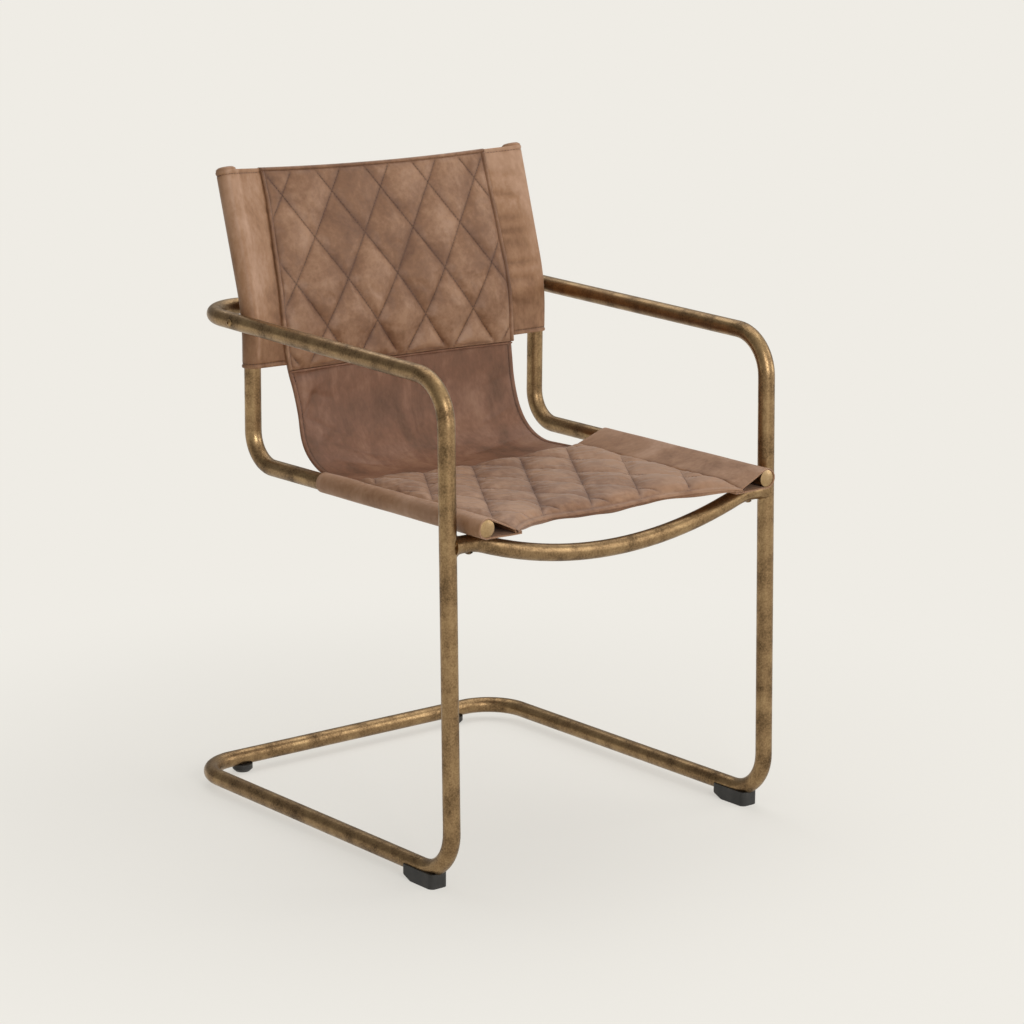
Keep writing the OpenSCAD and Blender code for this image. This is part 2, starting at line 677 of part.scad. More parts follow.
// The wadding stops short of the quilted edges
wadding_inset = 9;
wadding_xs = [for (x = plain_xs) max(-half_w + wadding_inset, min(half_w - wadding_inset, x))];
module wadding(rows)
    sheet(wadding_xs, rows, sling_t + layer_gap, sling_t + layer_gap + wadding_t);
function shifted(r, by) = [for (s = r) s + by];
// The same rows as the quilted panel over it, with the first and last ones drawn in
function drawn_in(rows) = concat([shifted(rows[0], wadding_inset)],
                                 [for (k = [1 : len(rows) - 2]) rows[k]],
                                 [shifted(rows[len(rows) - 1], -wadding_inset)]);
module seat_wadding() color(felt) wadding(drawn_in(seat_rows(wadding_xs)));
module back_wadding() color(felt) wadding(drawn_in(back_rows(wadding_xs)));

// The sling body runs the whole length, from the front of the seat to the top of the back
module sling_body() color(brown_leather) {
    plain_step = (back_quilt_start - seat_quilt_end) / plain_n;
    sheet(plain_xs, concat(seat_rows(plain_xs),
                           mid_rows(plain_xs, seat_quilt_end + plain_step, plain_n - 2, plain_step),
                           back_rows(plain_xs)), 0, sling_t);
}

// Piping in the seam under the quilted back panel
module back_piping() color(tan_leather) {
    s = back_quilt_start - piping_d / 2 - layer_gap;
    sides = 8;
    cols = len(plain_xs) - 1;
    ring = [for (k = [0 : sides - 1]) k * 360 / sides];
    points = [for (x = plain_xs, a = ring)
        sling_point(s + piping_d / 2 * cos(a), x, sling_t + layer_gap + piping_d / 2 * (1 + sin(a)))];
    sides_faces = [for (i = [0 : cols - 1], k = [0 : sides - 1])
        let (a = i * sides + k, b = i * sides + (k + 1) % sides)
        [[a, b + sides, a + sides], [a, b, b + sides]]];
    polyhedron(points = points, faces = concat(
        [for (pair = sides_faces, f = pair) f],
        [[for (k = [sides - 1 : -1 : 0]) k]],
        [[for (k = [0 : sides - 1]) cols * sides + k]]));
}

// A sleeve is a loop of leather round a tube that closes in a flat lip. In its section the
// tube is at the origin and the lip points along +X. reach is the distance from the tube's
// centre to the closed seam, and level is the height of the lip's upper face.
loop_in = tube_r + leather_gap;
loop_out = loop_in + leather_t;
// Clearances of the sling over the lips and beside the seams
lip_gap = 0.4;
edge_gap = 0.5;
// The leather leaves the loop a little inside its true tangent
hug = 0.97;
// Where the line from point p touches a circle of radius r; side 1 above, -1 below
function touch(p, r, side) =
    let (base = atan2(p.y, p.x), open = acos(r / norm(p)))
    r * [cos(base + side * open), sin(base + side * open)];
module leather_outline(reach, level, more) {
    low = level - 2 * leather_t;
    top = [reach + leather_t, level + more];
    foot = [reach + leather_t, low - more];
    polygon([[0, 0], touch(top, hug * loop_out, 1), top, top + [lip_l, 0],
             foot + [lip_l, 0], foot, touch(foot, hug * loop_out, -1)]);
}
module hollow_outline(reach, level, more) {
    seam = [reach, level - leather_t];
    polygon([[0, 0], touch(seam, hug * loop_in - more, 1), seam,
             touch(seam, hug * loop_in - more, -1)]);
}
module straight_sleeve(reach, level, length) {
    difference() {
        union() {
            cylinder(r = loop_out, h = length);
            linear_extrude(height = length) leather_outline(reach, level, 0);
        }
        translate([0, 0, -bite]) {
            cylinder(r = loop_in, h = length + 2 * bite);
            linear_extrude(height = length + 2 * bite) hollow_outline(reach, level, 0);
        }
    }
}

// Seat sleeve along the straight of the rail. Its lip lies under the edge of the sling.
seat_reach = rail_front_x - half_w - leather_t - edge_gap;
seat_lip_level = sling_h - lip_gap - rail_h;
nut_hole_d = nut_flange_d + 2 * bolt_clear;
module seat_sleeve(side) {
    along = rail_dir(-1);
    start = rail_route(-1)[0] - along * sleeve_lead;
    difference() {
        mirror([side > 0 ? 1 : 0, 0, 0])
            aim(start, unit(cross(along, [0, 0, 1])), along) mirror([0, 1, 0])
                straight_sleeve(seat_reach, seat_lip_level, seat_sleeve_l);
        translate([side * rail_bolt_x, stretcher_y, rail_nut_z])
            cylinder(d = nut_hole_d, h = 4 * leather_t, center = true);
    }
}
module left_seat_sleeve() color(tan_leather) seat_sleeve(-1);
module right_seat_sleeve() color(tan_leather) seat_sleeve(1);

// Back sleeve round the post, from its lower hem up through the kink to its top hem
back_seam_gap = 4;
back_reach = post_x - half_w - leather_t - back_seam_gap;
back_lip_level = sling_front - lip_gap;
low_sleeve_l = kink_start_z - sleeve_low_h;
top_sleeve_l = (back_top_h - kink_start_z - kink_r * sin(back_lean)) / cos(back_lean);
// Places its children on the left post's bend, in the plane of a turned section
module on_kink()
    aim([-post_x, post_y + kink_r, kink_start_z], [0, -1, 0], [-1, 0, 0])
        rotate_extrude(angle = back_lean) translate([kink_r, 0]) rotate(-90) children();
module bent_sleeve()
    difference() {
        union() {
            on_kink() circle(r = loop_out + swell);
            on_kink() leather_outline(back_reach, back_lip_level, swell);
        }
        on_kink() circle(r = loop_in - swell);
        on_kink() hollow_outline(back_reach, back_lip_level, swell);
    }
module back_sleeve(side) {
    lean_at = [-post_x, post_y + kink_r * (1 - cos(back_lean)), kink_start_z + kink_r * sin(back_lean)];
    difference() {
        mirror([side > 0 ? 1 : 0, 0, 0]) {
            translate([-post_x, post_y, sleeve_low_h]) mirror([0, 1, 0])
                straight_sleeve(back_reach, back_lip_level, low_sleeve_l + lap);
            bent_sleeve();
            translate(lean_at - lap * post_dir) rotate([-back_lean, 0, 0]) mirror([0, 1, 0])
                straight_sleeve(back_reach, back_lip_level, top_sleeve_l + lap);
        }
        translate([side * arm_nut_x, arm_bolt_y, arm_bolt_z]) rotate([0, 90, 0])
            cylinder(d = nut_hole_d, h = 4 * leather_t, center = true);
    }
}
module left_back_sleeve() color(tan_leather) back_sleeve(-1);
module right_back_sleeve() color(tan_leather) back_sleeve(1);

// Leather cap sewn over the top of each sleeve
cap_t = 1.6;
cap_dome = 2.5;
module post_cap(side) {
    seat = (back_top_h - post_top_h) / cos(back_lean) + layer_gap;
    aim(rail_route(side)[3], [1, 0, 0], post_dir) translate([0, 0, seat]) {
        cylinder(r = loop_out, h = cap_t);
        translate([0, 0, cap_t]) dome(loop_out, cap_dome);
    }
}
module left_post_cap() color(tan_leather) post_cap(-1);
module right_post_cap() color(tan_leather) post_cap(1);

left_side_tube();
right_side_tube();
base_joint_spigot();
arm_joint_spigot();
front_stretcher();
left_seat_back_tube();
right_seat_back_tube();
left_rail_plug();
right_rail_plug();
left_post_plug();
right_post_plug();
left_front_foot();
right_front_foot();
left_rear_glide();
right_rear_glide();
foot_screws();
arm_bolts();
rail_bolts();
rivet_nuts();
sling_body();
seat_wadding();
back_wadding();
quilted_seat();
quilted_back();
back_piping();
left_seat_sleeve();
right_seat_sleeve();
left_back_sleeve();
right_back_sleeve();
left_post_cap();
right_post_cap();
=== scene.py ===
import math

import bmesh
import bpy
import numpy as np
from bpy.props import FloatProperty, FloatVectorProperty, PointerProperty
from mathutils import Matrix, Vector


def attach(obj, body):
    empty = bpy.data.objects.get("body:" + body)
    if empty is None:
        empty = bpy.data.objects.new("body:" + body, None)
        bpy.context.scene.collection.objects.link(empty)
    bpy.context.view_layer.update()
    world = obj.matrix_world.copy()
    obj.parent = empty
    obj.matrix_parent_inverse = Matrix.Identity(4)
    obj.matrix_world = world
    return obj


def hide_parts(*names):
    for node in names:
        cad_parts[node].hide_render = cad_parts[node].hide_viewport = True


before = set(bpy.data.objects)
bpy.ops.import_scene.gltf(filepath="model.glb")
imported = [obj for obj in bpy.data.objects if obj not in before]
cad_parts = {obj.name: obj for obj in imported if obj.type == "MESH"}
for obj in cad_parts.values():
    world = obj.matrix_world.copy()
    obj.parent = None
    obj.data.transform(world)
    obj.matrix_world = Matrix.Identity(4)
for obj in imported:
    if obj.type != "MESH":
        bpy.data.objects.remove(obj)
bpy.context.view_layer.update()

bl_info = {
    "name": "Sling armchair",
    "version": (1, 0, 0),
    "blender": (4, 5, 0),
    "location": "3D View > Sidebar > Armchair",
    "description": "Dresses a cantilever armchair of antique brass tube with a quilted leather sling",
    "category": "Object",
}

# Lengths are in millimetres until a mesh is made. The chair faces -Y.
MM = 0.001

# The frame, from the part's source: places of the middle lines of its tubes
TUBE_R = 11.0
SIDE_X = 265.0
POST_X = 240.0
POST_Y = 179.3
RAIL_Z = 463.5
RAIL_FRONT_X = 232.5
RAIL_FRONT_Y = -299.7
# The foot and the top of the straight of a front leg, as (y, z)
LEG_FOOT = (-277.7, 20.0)
LEG_TOP = (-260.87, 642.0)
STRETCHER_Z = 439.0
# The bend half way up a post, above which it leans back
KINK_Z = 658.0
KINK_R = 250.0
LEAN = math.radians(17)
KINK_START_Z = KINK_Z - KINK_R * math.tan(LEAN / 2)

# The sling: its half width and thickness, and the back and the stitched face of the quilting in front of it
HALF_W = 187.0
SLING_T = 2.4
QUILT_LOW = 4.8
QUILT_TOP = 6.7
DIAMOND_W = 81.0
DIAMOND_L = 119.0
# Steps of the pads' mesh across and along one diamond, so that its lines run from corner to corner of the mesh
STEP_X = DIAMOND_W / 24
STEP_S = DIAMOND_L / 24
SLING_Z = 454.0
FRONT_Y = -302.7
SEAT_SLEEVE_L = 328.0
SLEEVE_END_Y = FRONT_Y + SEAT_SLEEVE_L
BACK_SEAM_Z = 583.0
BACK_TOP_Z = 842.0
SLEEVE_LOW_Z = 591.0
# Half width of the stretch over which the front edge is cut back most, and how far it is cut back there; how far the
# seat dips towards the back in degrees, the radius of the bend between seat and back, and how far the sling lies in
# front of the middle of the posts
CUT_HALF_W = 80.0
FRONT_CUT = 54.0
DIP = 2.0
SLING_R = 94.0
SLING_FRONT = 6.8
UPRIGHT_Y = POST_Y - SLING_FRONT
SLING_KINK_R = KINK_R + SLING_FRONT
KINK_END_Z = KINK_START_Z + SLING_KINK_R * math.sin(LEAN)

# The curve of the sling's back face. Its seat is level, then dips after a slight bend of this length.
DIP_BEND = 30.0
_dip = math.radians(DIP)
_flat_l = SEAT_SLEEVE_L - DIP_BEND / 2
_slope_l = (UPRIGHT_Y - SLEEVE_END_Y - SLING_R * (1 + math.sin(_dip))) / math.cos(_dip) - DIP_BEND / 2
# Lengths along the sling at which its bends start and end, and its heading there in degrees above level
UP_START = _flat_l + DIP_BEND + _slope_l
UP_END = UP_START + SLING_R * math.radians(90 + DIP)
UP_END_Z = SLING_Z - (_slope_l + DIP_BEND / 2) * math.sin(_dip) + SLING_R * math.cos(_dip)
LEAN_START = UP_END + KINK_START_Z - UP_END_Z
LEAN_END = LEAN_START + SLING_KINK_R * LEAN
SLING_L = LEAN_END + (BACK_TOP_Z - KINK_END_Z) / math.cos(LEAN)
HEADING_S = (-60, _flat_l, _flat_l + DIP_BEND, UP_START, UP_END, LEAN_START, LEAN_END, SLING_L + 60)
HEADING_A = (0, 0, -DIP, -DIP, 90, 90, 73, 73)
CURVE_S = np.arange(-20, SLING_L + 50, 1.0)
_half = np.radians(np.interp(CURVE_S + 0.5, HEADING_S, HEADING_A))
CURVE_Y = FRONT_Y - 20 + np.concatenate([[0], np.cumsum(np.cos(_half))[:-1]])
CURVE_Z = SLING_Z + np.concatenate([[0], np.cumsum(np.sin(_half))[:-1]])


def s_at_height(h):
    """Length along the sling at a height in the back."""
    return UP_END + h - UP_END_Z if h < KINK_Z else LEAN_END + (h - KINK_END_Z) / math.cos(LEAN)


# Where the quilting of the seat ends and that of the back starts, and a length at which two of its lines cross in
# the middle of each panel
SEAT_END_S = SEAT_SLEEVE_L
BACK_START_S = s_at_height(BACK_SEAM_Z)
SEAT_PHASE = 83.0
BACK_PHASE = s_at_height(807.0)
# The share by which the second family of lines is pulled in, on the seat and on the back
SEAT_WEAK = 0.72
BACK_WEAK = 1.0
# Distances from the middle of the sling: where the cells of the seat and of the back end at the sides, and the
# valleys in which the folded edges of the back panel and of the plain leather are stitched down
SEAT_CELLS_X = 185.8
BACK_CELLS_X = 182.2
BACK_VALLEY_X = 182.7
PLAIN_VALLEY_X = 180.2
# Distance from a border at which the cells have their full height, and from a line of quilting to a cell's middle
FULL_RISE_L = 9.0
HALF_CELL = 33.5
# The simulation fills the pads in so many frames and at this pressure, and may fill a cell by no more than the cap
FILL_FRAMES = 20
FILL_PRESSURE = 4.0
FILL_CAP = 2.2
# How deep the middle of the sling hangs below its sides, over this half width, at each length
SAG_S = (0, UP_START, UP_END, s_at_height(583), s_at_height(708), SLING_L)
SAG = (6, 6, 8, 8, 1, 0)
SAG_HALF_W = 175.0
# Besides that, the middle of the front edge droops, over this length
FRONT_DROOP = 5.0
DROOP_L = 45.0
SETBACK_S = s_at_height(600)


def front_edge(x):
    """Length at which the seat starts: cut back in the middle, and curving forward to its corners."""
    out = np.clip((np.abs(x) - CUT_HALF_W) / (HALF_W - CUT_HALF_W), 0, 1)
    return FRONT_CUT * (1 - out ** 1.6)


def top_edge(x):
    """Length at which the back ends: a little lower in the middle."""
    return SLING_L + 2.5 - 4 * (1 - (np.asarray(x) / HALF_W) ** 2)


# Towards its top the back is drawn in between the posts, by SETBACK at its top edge. Under the quilting the
# plain leather is slack and swings forward, by SLACK at most.
SETBACK = 10.5
SLACK = 9.5
# The left edge of the sling isn't quite straight: (height, how far inboard it lies)
LEFT_EDGE = ((515, 5), (540, 4), (562, 0), (583, -5), (611, -8.5), (658, -11), (736, -5), (800, 0))
_edge_s = [UP_END - 76, UP_END - 54] + [s_at_height(height) for height, _ in LEFT_EDGE]
_edge_in = [0, 2] + [inboard for _, inboard in LEFT_EDGE]
_soften = np.hanning(41) / np.hanning(41).sum()
LEFT_SHIFT = np.convolve(np.interp(CURVE_S, _edge_s, _edge_in), _soften, "same")


def setback(s):
    """How far the sling lies behind its curve at a length; less than 0 is in front of it."""
    s = np.asarray(s, float)
    return (SETBACK * np.clip((s - SETBACK_S) / (SLING_L - SETBACK_S), 0, 1.05) ** 1.15
            - SLACK * np.exp(-((s - UP_END + 25) / 58) ** 2))


def left_shift(s):
    """How far inboard the left edge lies at a length."""
    return np.interp(s, CURVE_S, LEFT_SHIFT)


def on_sling(x, s, t):
    """Points in millimetres at length s along the sling, x across it and t in front of its back face."""
    x, s, t = np.broadcast_arrays(np.asarray(x, float), np.asarray(s, float), np.asarray(t, float))
    heading = np.radians(np.interp(s, HEADING_S, HEADING_A))
    hollow = np.maximum(0, 1 - (x / SAG_HALF_W) ** 2)
    droop = FRONT_DROOP * hollow * np.clip(1 - np.maximum(0, s - front_edge(x)) / DROOP_L, 0, 1) ** 2
    off = t - np.interp(s, SAG_S, SAG) * hollow - droop - setback(s)
    y = np.interp(s, CURVE_S, CURVE_Y) - off * np.sin(heading)
    z = np.interp(s, CURVE_S, CURVE_Z) + off * np.cos(heading)
    return np.stack([x + left_shift(s) * (np.minimum(x, 0) / HALF_W) ** 2, y, z], -1)


def stitch_wave(x, s, side):
    """0 on the lines of quilting of one family, and 1 half way between two of them."""
    return np.abs(np.sin(np.pi * (x / DIAMOND_W + side * s / DIAMOND_L)))


def off_stitching(x, s):
    """Distances in millimetres from the nearest line of quilting of each of the two families."""
    span = DIAMOND_W * DIAMOND_L / math.hypot(DIAMOND_W, DIAMOND_L)
    return [np.arcsin(np.clip(stitch_wave(x, s, side), 0, 1)) / np.pi * span for side in (-1, 1)]


def cells(x, s, phase, weak):
    """Shape of the filled cells, from 0 on the stitching to about 1. weak is the depth to which the second family
    of lines is pulled in; across it the leather of the rolls lies in fine wrinkles."""
    first, second = off_stitching(x, s - phase)
    # A roll is steep beside its stitches and rounder towards its crown
    crown = 1 - (1 - np.clip(first / HALF_CELL, 0, 1)) ** 2
    rolls = (0.55 * np.tanh(first / 8) + 0.45 * crown) * (1 - weak * (1 - np.tanh(second / 8)))
    # The wrinkles lie across the rolls, bent and spaced unevenly
    turn = 2 * np.pi * (x / DIAMOND_W + (s - phase) / DIAMOND_L)
    wave = np.abs(np.sin(2.1 * turn + 1.7 * np.sin(x / 29) + 1.5 * np.sin(s / 21) + 0.8 * np.sin(x / 11 - s / 17)))
    wrinkles = (1 - wave) ** 2.2 * (0.6 + 0.4 * np.sin(x / 17 + s / 37))
    return rolls * (1 - 0.75 * (1 - weak) * wrinkles * np.tanh(second / 14))


def pinched(x, along):
    """1 at the front corners of the seat, where its layers are sewn flat, and 0 over the rest of it."""
    return np.exp(-(np.maximum(0, along) / 22) ** 2) * np.clip((np.abs(x) - 140) / 46, 0, 1) ** 2


def rising(distance):
    """0 on a border of the quilting, and 1 where the cells have their full height."""
    return np.sqrt(np.clip(distance / FULL_RISE_L, 0, 1))


def seat_face(x, s):
    """Height of the stitched face of the quilted seat, and how far its cells may rise above it."""
    along = s - front_edge(x)
    flat = 1 - 0.5 * pinched(x, along)
    near = np.minimum(along - 3.2, seat_end(x) - s)
    free = rising(near) * rising(SEAT_CELLS_X - np.abs(x)) * (2 * flat - 1)
    return (np.interp(along, (3.2, 15), (4.6, QUILT_TOP)) - 0.9 * (np.abs(x) > 186.5)) * flat, free


def seat_end(x):
    """Length at which the quilting of the seat ends: rounded out at the end of each roll."""
    scallop = 4.0 * (1 - np.abs(np.sin(np.pi * x / DIAMOND_W))) * np.clip((175 - np.abs(x)) / 30, 0, 1)
    return SEAT_END_S - 6 + scallop


def back_free(x, s):
    """How far the cells of the back may rise. The filling has sunk a little, so the lower cells are fuller."""
    near = np.minimum(s - BACK_START_S - 1.0, top_edge(x) - 4.6 - s)
    full = np.interp(s, (BACK_START_S, BACK_START_S + 150, SLING_L), (1.5, 0.9, 0.65))
    return rising(near) * rising(BACK_CELLS_X - np.abs(x)) * full


def creased(x, s, creases):
    """Depth of a set of creases, each (x0, s0, x1, s1, width, depth), at a point of the leather."""
    depth = np.zeros(np.broadcast(x, s).shape)
    for x0, s0, x1, s1, width, deep in creases:
        along = np.array([x1 - x0, s1 - s0], float)
        reach = along @ along
        k = np.clip(((x - x0) * along[0] + (s - s0) * along[1]) / reach, 0, 1)
        away = np.hypot(x - x0 - k * along[0], s - s0 - k * along[1])
        fade = np.sin(np.pi * np.clip(k, 0.02, 0.98)) ** 0.5
        depth += deep * fade * np.exp(-(away / width) ** 2)
    return depth


# Meshes


def add_object(name, data):
    made = bpy.data.objects.new(name, data)
    bpy.context.scene.collection.objects.link(made)
    return made


def mesh_piece(name, points, faces, merge=True, **attributes):
    """A finished object of a mesh given in millimetres, with float attributes on its points."""
    mesh = bpy.data.meshes.new(name)
    mesh.from_pydata((np.asarray(points) * MM).tolist(), [], faces)
    for key, values in attributes.items():
        mesh.attributes.new(key, "FLOAT", "POINT").data.foreach_set("value", np.asarray(values, np.float32))
    piece = add_object(name, mesh)
    face_outwards(piece, merge)
    return piece


def face_outwards(piece, merge=True):
    """Turns the faces of a closed mesh outwards, after its doubled points are merged."""
    shape = bmesh.new()
    shape.from_mesh(piece.data)
    if merge:
        bmesh.ops.remove_doubles(shape, verts=shape.verts, dist=0.01 * MM)
    bmesh.ops.recalc_face_normals(shape, faces=shape.faces)
    if shape.calc_volume(signed=True) < 0:
        bmesh.ops.reverse_faces(shape, faces=shape.faces)
    shape.to_mesh(piece.data)
    shape.free()


def cell_faces(key, diagonal):
    """Corners of the faces of a grid of points. Points of one column with one key are merged, and a cell with a
    diagonal becomes two triangles that meet on the stitch line."""
    rows, cols = key.shape
    tags = np.stack([np.tile(np.arange(cols), rows), np.round(key.ravel(), 3)], 1)
    _, first, index = np.unique(tags, axis=0, return_index=True, return_inverse=True)
    index = index.reshape(rows, cols)
    faces = []
    for j in range(rows - 1):
        for i in range(cols - 1):
            a, b, c, d = index[j, i], index[j, i + 1], index[j + 1, i + 1], index[j + 1, i]
            way = 0 if diagonal is None else diagonal[j, i]
            parts = [(a, b, c, d)] if way == 0 else [(a, b, c), (a, c, d)] if way > 0 else [(a, b, d), (b, c, d)]
            for part in parts:
                loop = [int(v) for k, v in enumerate(part) if v != part[k - 1]]
                if len(set(loop)) > 2:
                    faces.append(loop)
    return first, faces


def skin(name, key, outer, inner, diagonal=None, **attributes):
    """A closed sheet between two grids of points, with its rim."""
    first, faces = cell_faces(key, diagonal)
    count = len(first)
    points = np.concatenate([outer.reshape(-1, 3)[first], inner.reshape(-1, 3)[first]])
    edges = {}
    for face in faces:
        for k, b in enumerate(face):
            edges[(face[k - 1], b)] = edges.get((face[k - 1], b), 0) + 1
    rim = [(b, a, a + count, b + count) for a, b in edges if (b, a) not in edges]
    back = [tuple(v + count for v in reversed(face)) for face in faces]
    spread = {k: np.tile(np.asarray(v, float).ravel()[first], 2) for k, v in attributes.items()}
    spread["inside"] = np.repeat([0.0, 1.0], count)
    return mesh_piece(name, points, faces + back + rim, **spread)


def deselect_all():
    bpy.ops.object.select_all(action="DESELECT")


def active_only(piece):
    deselect_all()
    piece.select_set(True)
    bpy.context.view_layer.objects.active = piece


def smooth(piece, degrees):
    active_only(piece)
    bpy.ops.object.shade_smooth_by_angle(angle=math.radians(degrees))


def apply_subdivision(piece):
    modifier = piece.modifiers.new("smooth", "SUBSURF")
    modifier.levels = modifier.render_levels = 1
    modifier.boundary_smooth = "PRESERVE_CORNERS"
    active_only(piece)
    bpy.ops.object.modifier_apply(modifier=modifier.name)


def crease_edges(piece, chosen):
    """Keeps the chosen edges sharp under subdivision. chosen takes arrays of the two ends in millimetres."""
    mesh = piece.data
    ends = np.zeros(len(mesh.edges) * 2, np.int32)
    mesh.edges.foreach_get("vertices", ends)
    marks = chosen(ends[0::2], ends[1::2]).astype(np.float32)
    crease = mesh.attributes.get("crease_edge") or mesh.attributes.new("crease_edge", "FLOAT", "EDGE")
    crease.data.foreach_set("value", marks)


def attribute(piece, name):
    values = np.zeros(len(piece.data.vertices), np.float32)
    piece.data.attributes[name].data.foreach_get("value", values)
    return values


def coordinates(mesh):
    flat = np.zeros(len(mesh.vertices) * 3, np.float32)
    mesh.vertices.foreach_get("co", flat)
    return flat.reshape(-1, 3).astype(float)


def dress(piece, finish):
    """Gives a piece its material and rides it on the chair."""
    piece.data.materials.clear()
    piece.data.materials.append(finish)
    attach(piece, "root")


# Materials


def hex_numbers(code):
    """sRGB numbers from 0 to 1 of a hex value."""
    return tuple(int(code[k:k + 2], 16) / 255 for k in (1, 3, 5))


def look_hex(colour):
    """Hex value of a colour property, which holds sRGB numbers."""
    return "#" + "".join(f"{round(c * 255):02x}" for c in colour)


def srgb(code):
    """Linear colour of an sRGB hex value."""
    return tuple(p / 12.92 if p <= 0.04045 else ((p + 0.055) / 1.055) ** 2.4 for p in hex_numbers(code))


def add_node(tree, kind, inputs=None, stops=None, **settings):
    """Adds a shader node with its settings, and sets or links its inputs. stops are pairs of (place, hex colour)."""
    made = tree.nodes.new("ShaderNode" + kind)
    for key, value in settings.items():
        setattr(made, key, value)
    for key, value in (inputs or {}).items():
        if isinstance(value, bpy.types.NodeSocket):
            tree.links.new(value, made.inputs[key])
        else:
            made.inputs[key].default_value = value
    if stops:
        elements = made.color_ramp.elements
        while len(elements) < len(stops):
            elements.new(0.5)
        for element, (place, colour) in zip(elements, stops):
            element.position = place
            element.color = (*srgb(colour), 1)
    return made


def calc(tree, operation, *values):
    """Result of a math node for up to three numbers or sockets."""
    return add_node(tree, "Math", dict(enumerate(values)), operation=operation).outputs[0]


def noise(tree, where, scale, detail, **inputs):
    return add_node(tree, "TexNoise", {"Vector": where, "Scale": scale, "Detail": detail, **inputs}).outputs["Fac"]


def empty_tree(owner):
    """Nodes of a material or a world, turned on and cleared."""
    owner.use_nodes = True
    owner.node_tree.nodes.clear()
    return owner.node_tree


def new_material(name, **shader):
    """A material with one shader, whose plain numbers are set on its own sockets. The last two are None if the
    material is there already."""
    material = bpy.data.materials.get(name)
    if material:
        return material, None, None
    material = bpy.data.materials.new(name)
    tree = empty_tree(material)
    principled = add_node(tree, "BsdfPrincipled", shader)
    add_node(tree, "OutputMaterial", {"Surface": principled.outputs[0]})
    return material, tree, principled


def finish_shader(tree, shader, colour=None, rough=None, bump=None):
    """Links a shader to the nodes that give it its colour, its roughness and its relief."""
    for node, output, target in ((colour, "Color", "Base Color"), (rough, "Result", "Roughness"),
                                 (bump, "Normal", "Normal")):
        if node:
            tree.links.new(node.outputs[output], shader.inputs[target])


def antique_brass(name, dark, middle, light):
    """Brass tube, aged in acid and lacquered: it gives a soft metal sheen broken by dark specks of 1 to 3 mm
    and by brown clouds of 10 to 30 mm, which dull the gloss where they lie."""
    material, tree, shader = new_material(name, Metallic=1.0)
    if tree is None:
        return material
    where = add_node(tree, "TexCoord").outputs["Object"]
    clouds = noise(tree, where, 34.0, 4.0, Roughness=0.6)
    specks = noise(tree, where, 420.0, 3.0, Roughness=0.6)
    both = calc(tree, "MULTIPLY_ADD", specks, 0.4, calc(tree, "MULTIPLY", clouds, 0.6))
    colour = add_node(tree, "ValToRGB", {"Fac": both}, stops=[(0.34, dark), (0.49, middle), (0.66, light)])
    dull = add_node(tree, "MapRange", {"Value": both, "From Min": 0.38, "From Max": 0.6, "To Min": 0.47,
                                       "To Max": 0.3})
    pits = add_node(tree, "Bump", {"Height": specks, "Strength": 0.25, "Distance": 0.0003})
    finish_shader(tree, shader, colour, dull, pits)
    return material


def waxed_leather(name, dark, middle, light, streak=(1.0, 1.0, 1.0), wrinkle=0.0, turn=(0.0, 0.0, 0.0), bloom=0.0,
                  spread=0.3):
    """Aniline leather, waxed and rubbed by hand: it gives a matt to satin brown with clouds of 20 to 60 mm, paler
    on the raised cells, darker along seams, and a fine pebbled grain. The paler crowns stand for wear and are also a
    painted highlight; the lift attribute further paints highlights, and shade where it is negative; the darkening
    along seams is dirt and painted shade in the stitch grooves. The real grain is about 0.8 mm and too
    fine to show, so it is drawn at 2 mm. streak stretches the clouds, wrinkle adds soft folds along one
    direction, which turn sets, bloom is the pale haze of dry wax that shows at a low angle, and a small spread
    makes the clouds stronger."""
    material, tree, shader = new_material(name, **{"Specular IOR Level": 0.3, "Coat Weight": 0.03,
                                                   "Coat Roughness": 0.4, "Sheen Weight": bloom,
                                                   "Sheen Roughness": 0.35})
    if tree is None:
        return material
    where = add_node(tree, "TexCoord").outputs["Object"]
    along = add_node(tree, "Mapping", {"Vector": where, "Scale": streak}).outputs[0]
    clouds = noise(tree, along, 16.0, 5.0, Roughness=0.62, Distortion=0.4)
    fine = noise(tree, along, 150.0, 4.0, Roughness=0.6)
    tone = calc(tree, "ADD", clouds, calc(tree, "MULTIPLY_ADD", fine, 0.34, -0.17))
    # lift paints the leather paler, as painted highlights and as the paler crowns of the cells, and darker as painted
    # shade where it is negative; seam paints it darker along stitches, as dirt and painted shade
    for mark, gain in (("lift", 0.06), ("seam", -0.19)):
        there = add_node(tree, "Attribute", attribute_name=mark).outputs["Fac"]
        tone = calc(tree, "MULTIPLY_ADD", there, gain, tone)
    colour = add_node(tree, "ValToRGB", {"Fac": tone},
                      stops=[(0.5 - spread, dark), (0.5, middle), (0.5 + spread, light)])
    gloss = add_node(tree, "MapRange", {"Value": clouds, "From Min": 0.3, "From Max": 0.7, "To Min": 0.58,
                                        "To Max": 0.42})
    grain = add_node(tree, "TexVoronoi", {"Vector": where, "Scale": 520.0, "Randomness": 1.0}, feature="SMOOTH_F1")
    bump = add_node(tree, "Bump", {"Height": grain.outputs["Distance"], "Strength": 0.16, "Distance": 0.0004})
    folds = bump
    if wrinkle:
        turned = add_node(tree, "Mapping", {"Vector": where, "Rotation": turn})
        pulled = add_node(tree, "Mapping", {"Vector": turned.outputs[0], "Scale": (1.0, 4.5, 4.5)})
        soft = noise(tree, pulled.outputs[0], 15.0, 3.0, Distortion=0.6)
        folds = add_node(tree, "Bump", {"Height": soft, "Strength": wrinkle, "Distance": 0.004,
                                        "Normal": bump.outputs[0]})
    finish_shader(tree, shader, colour, gloss, folds)
    return material


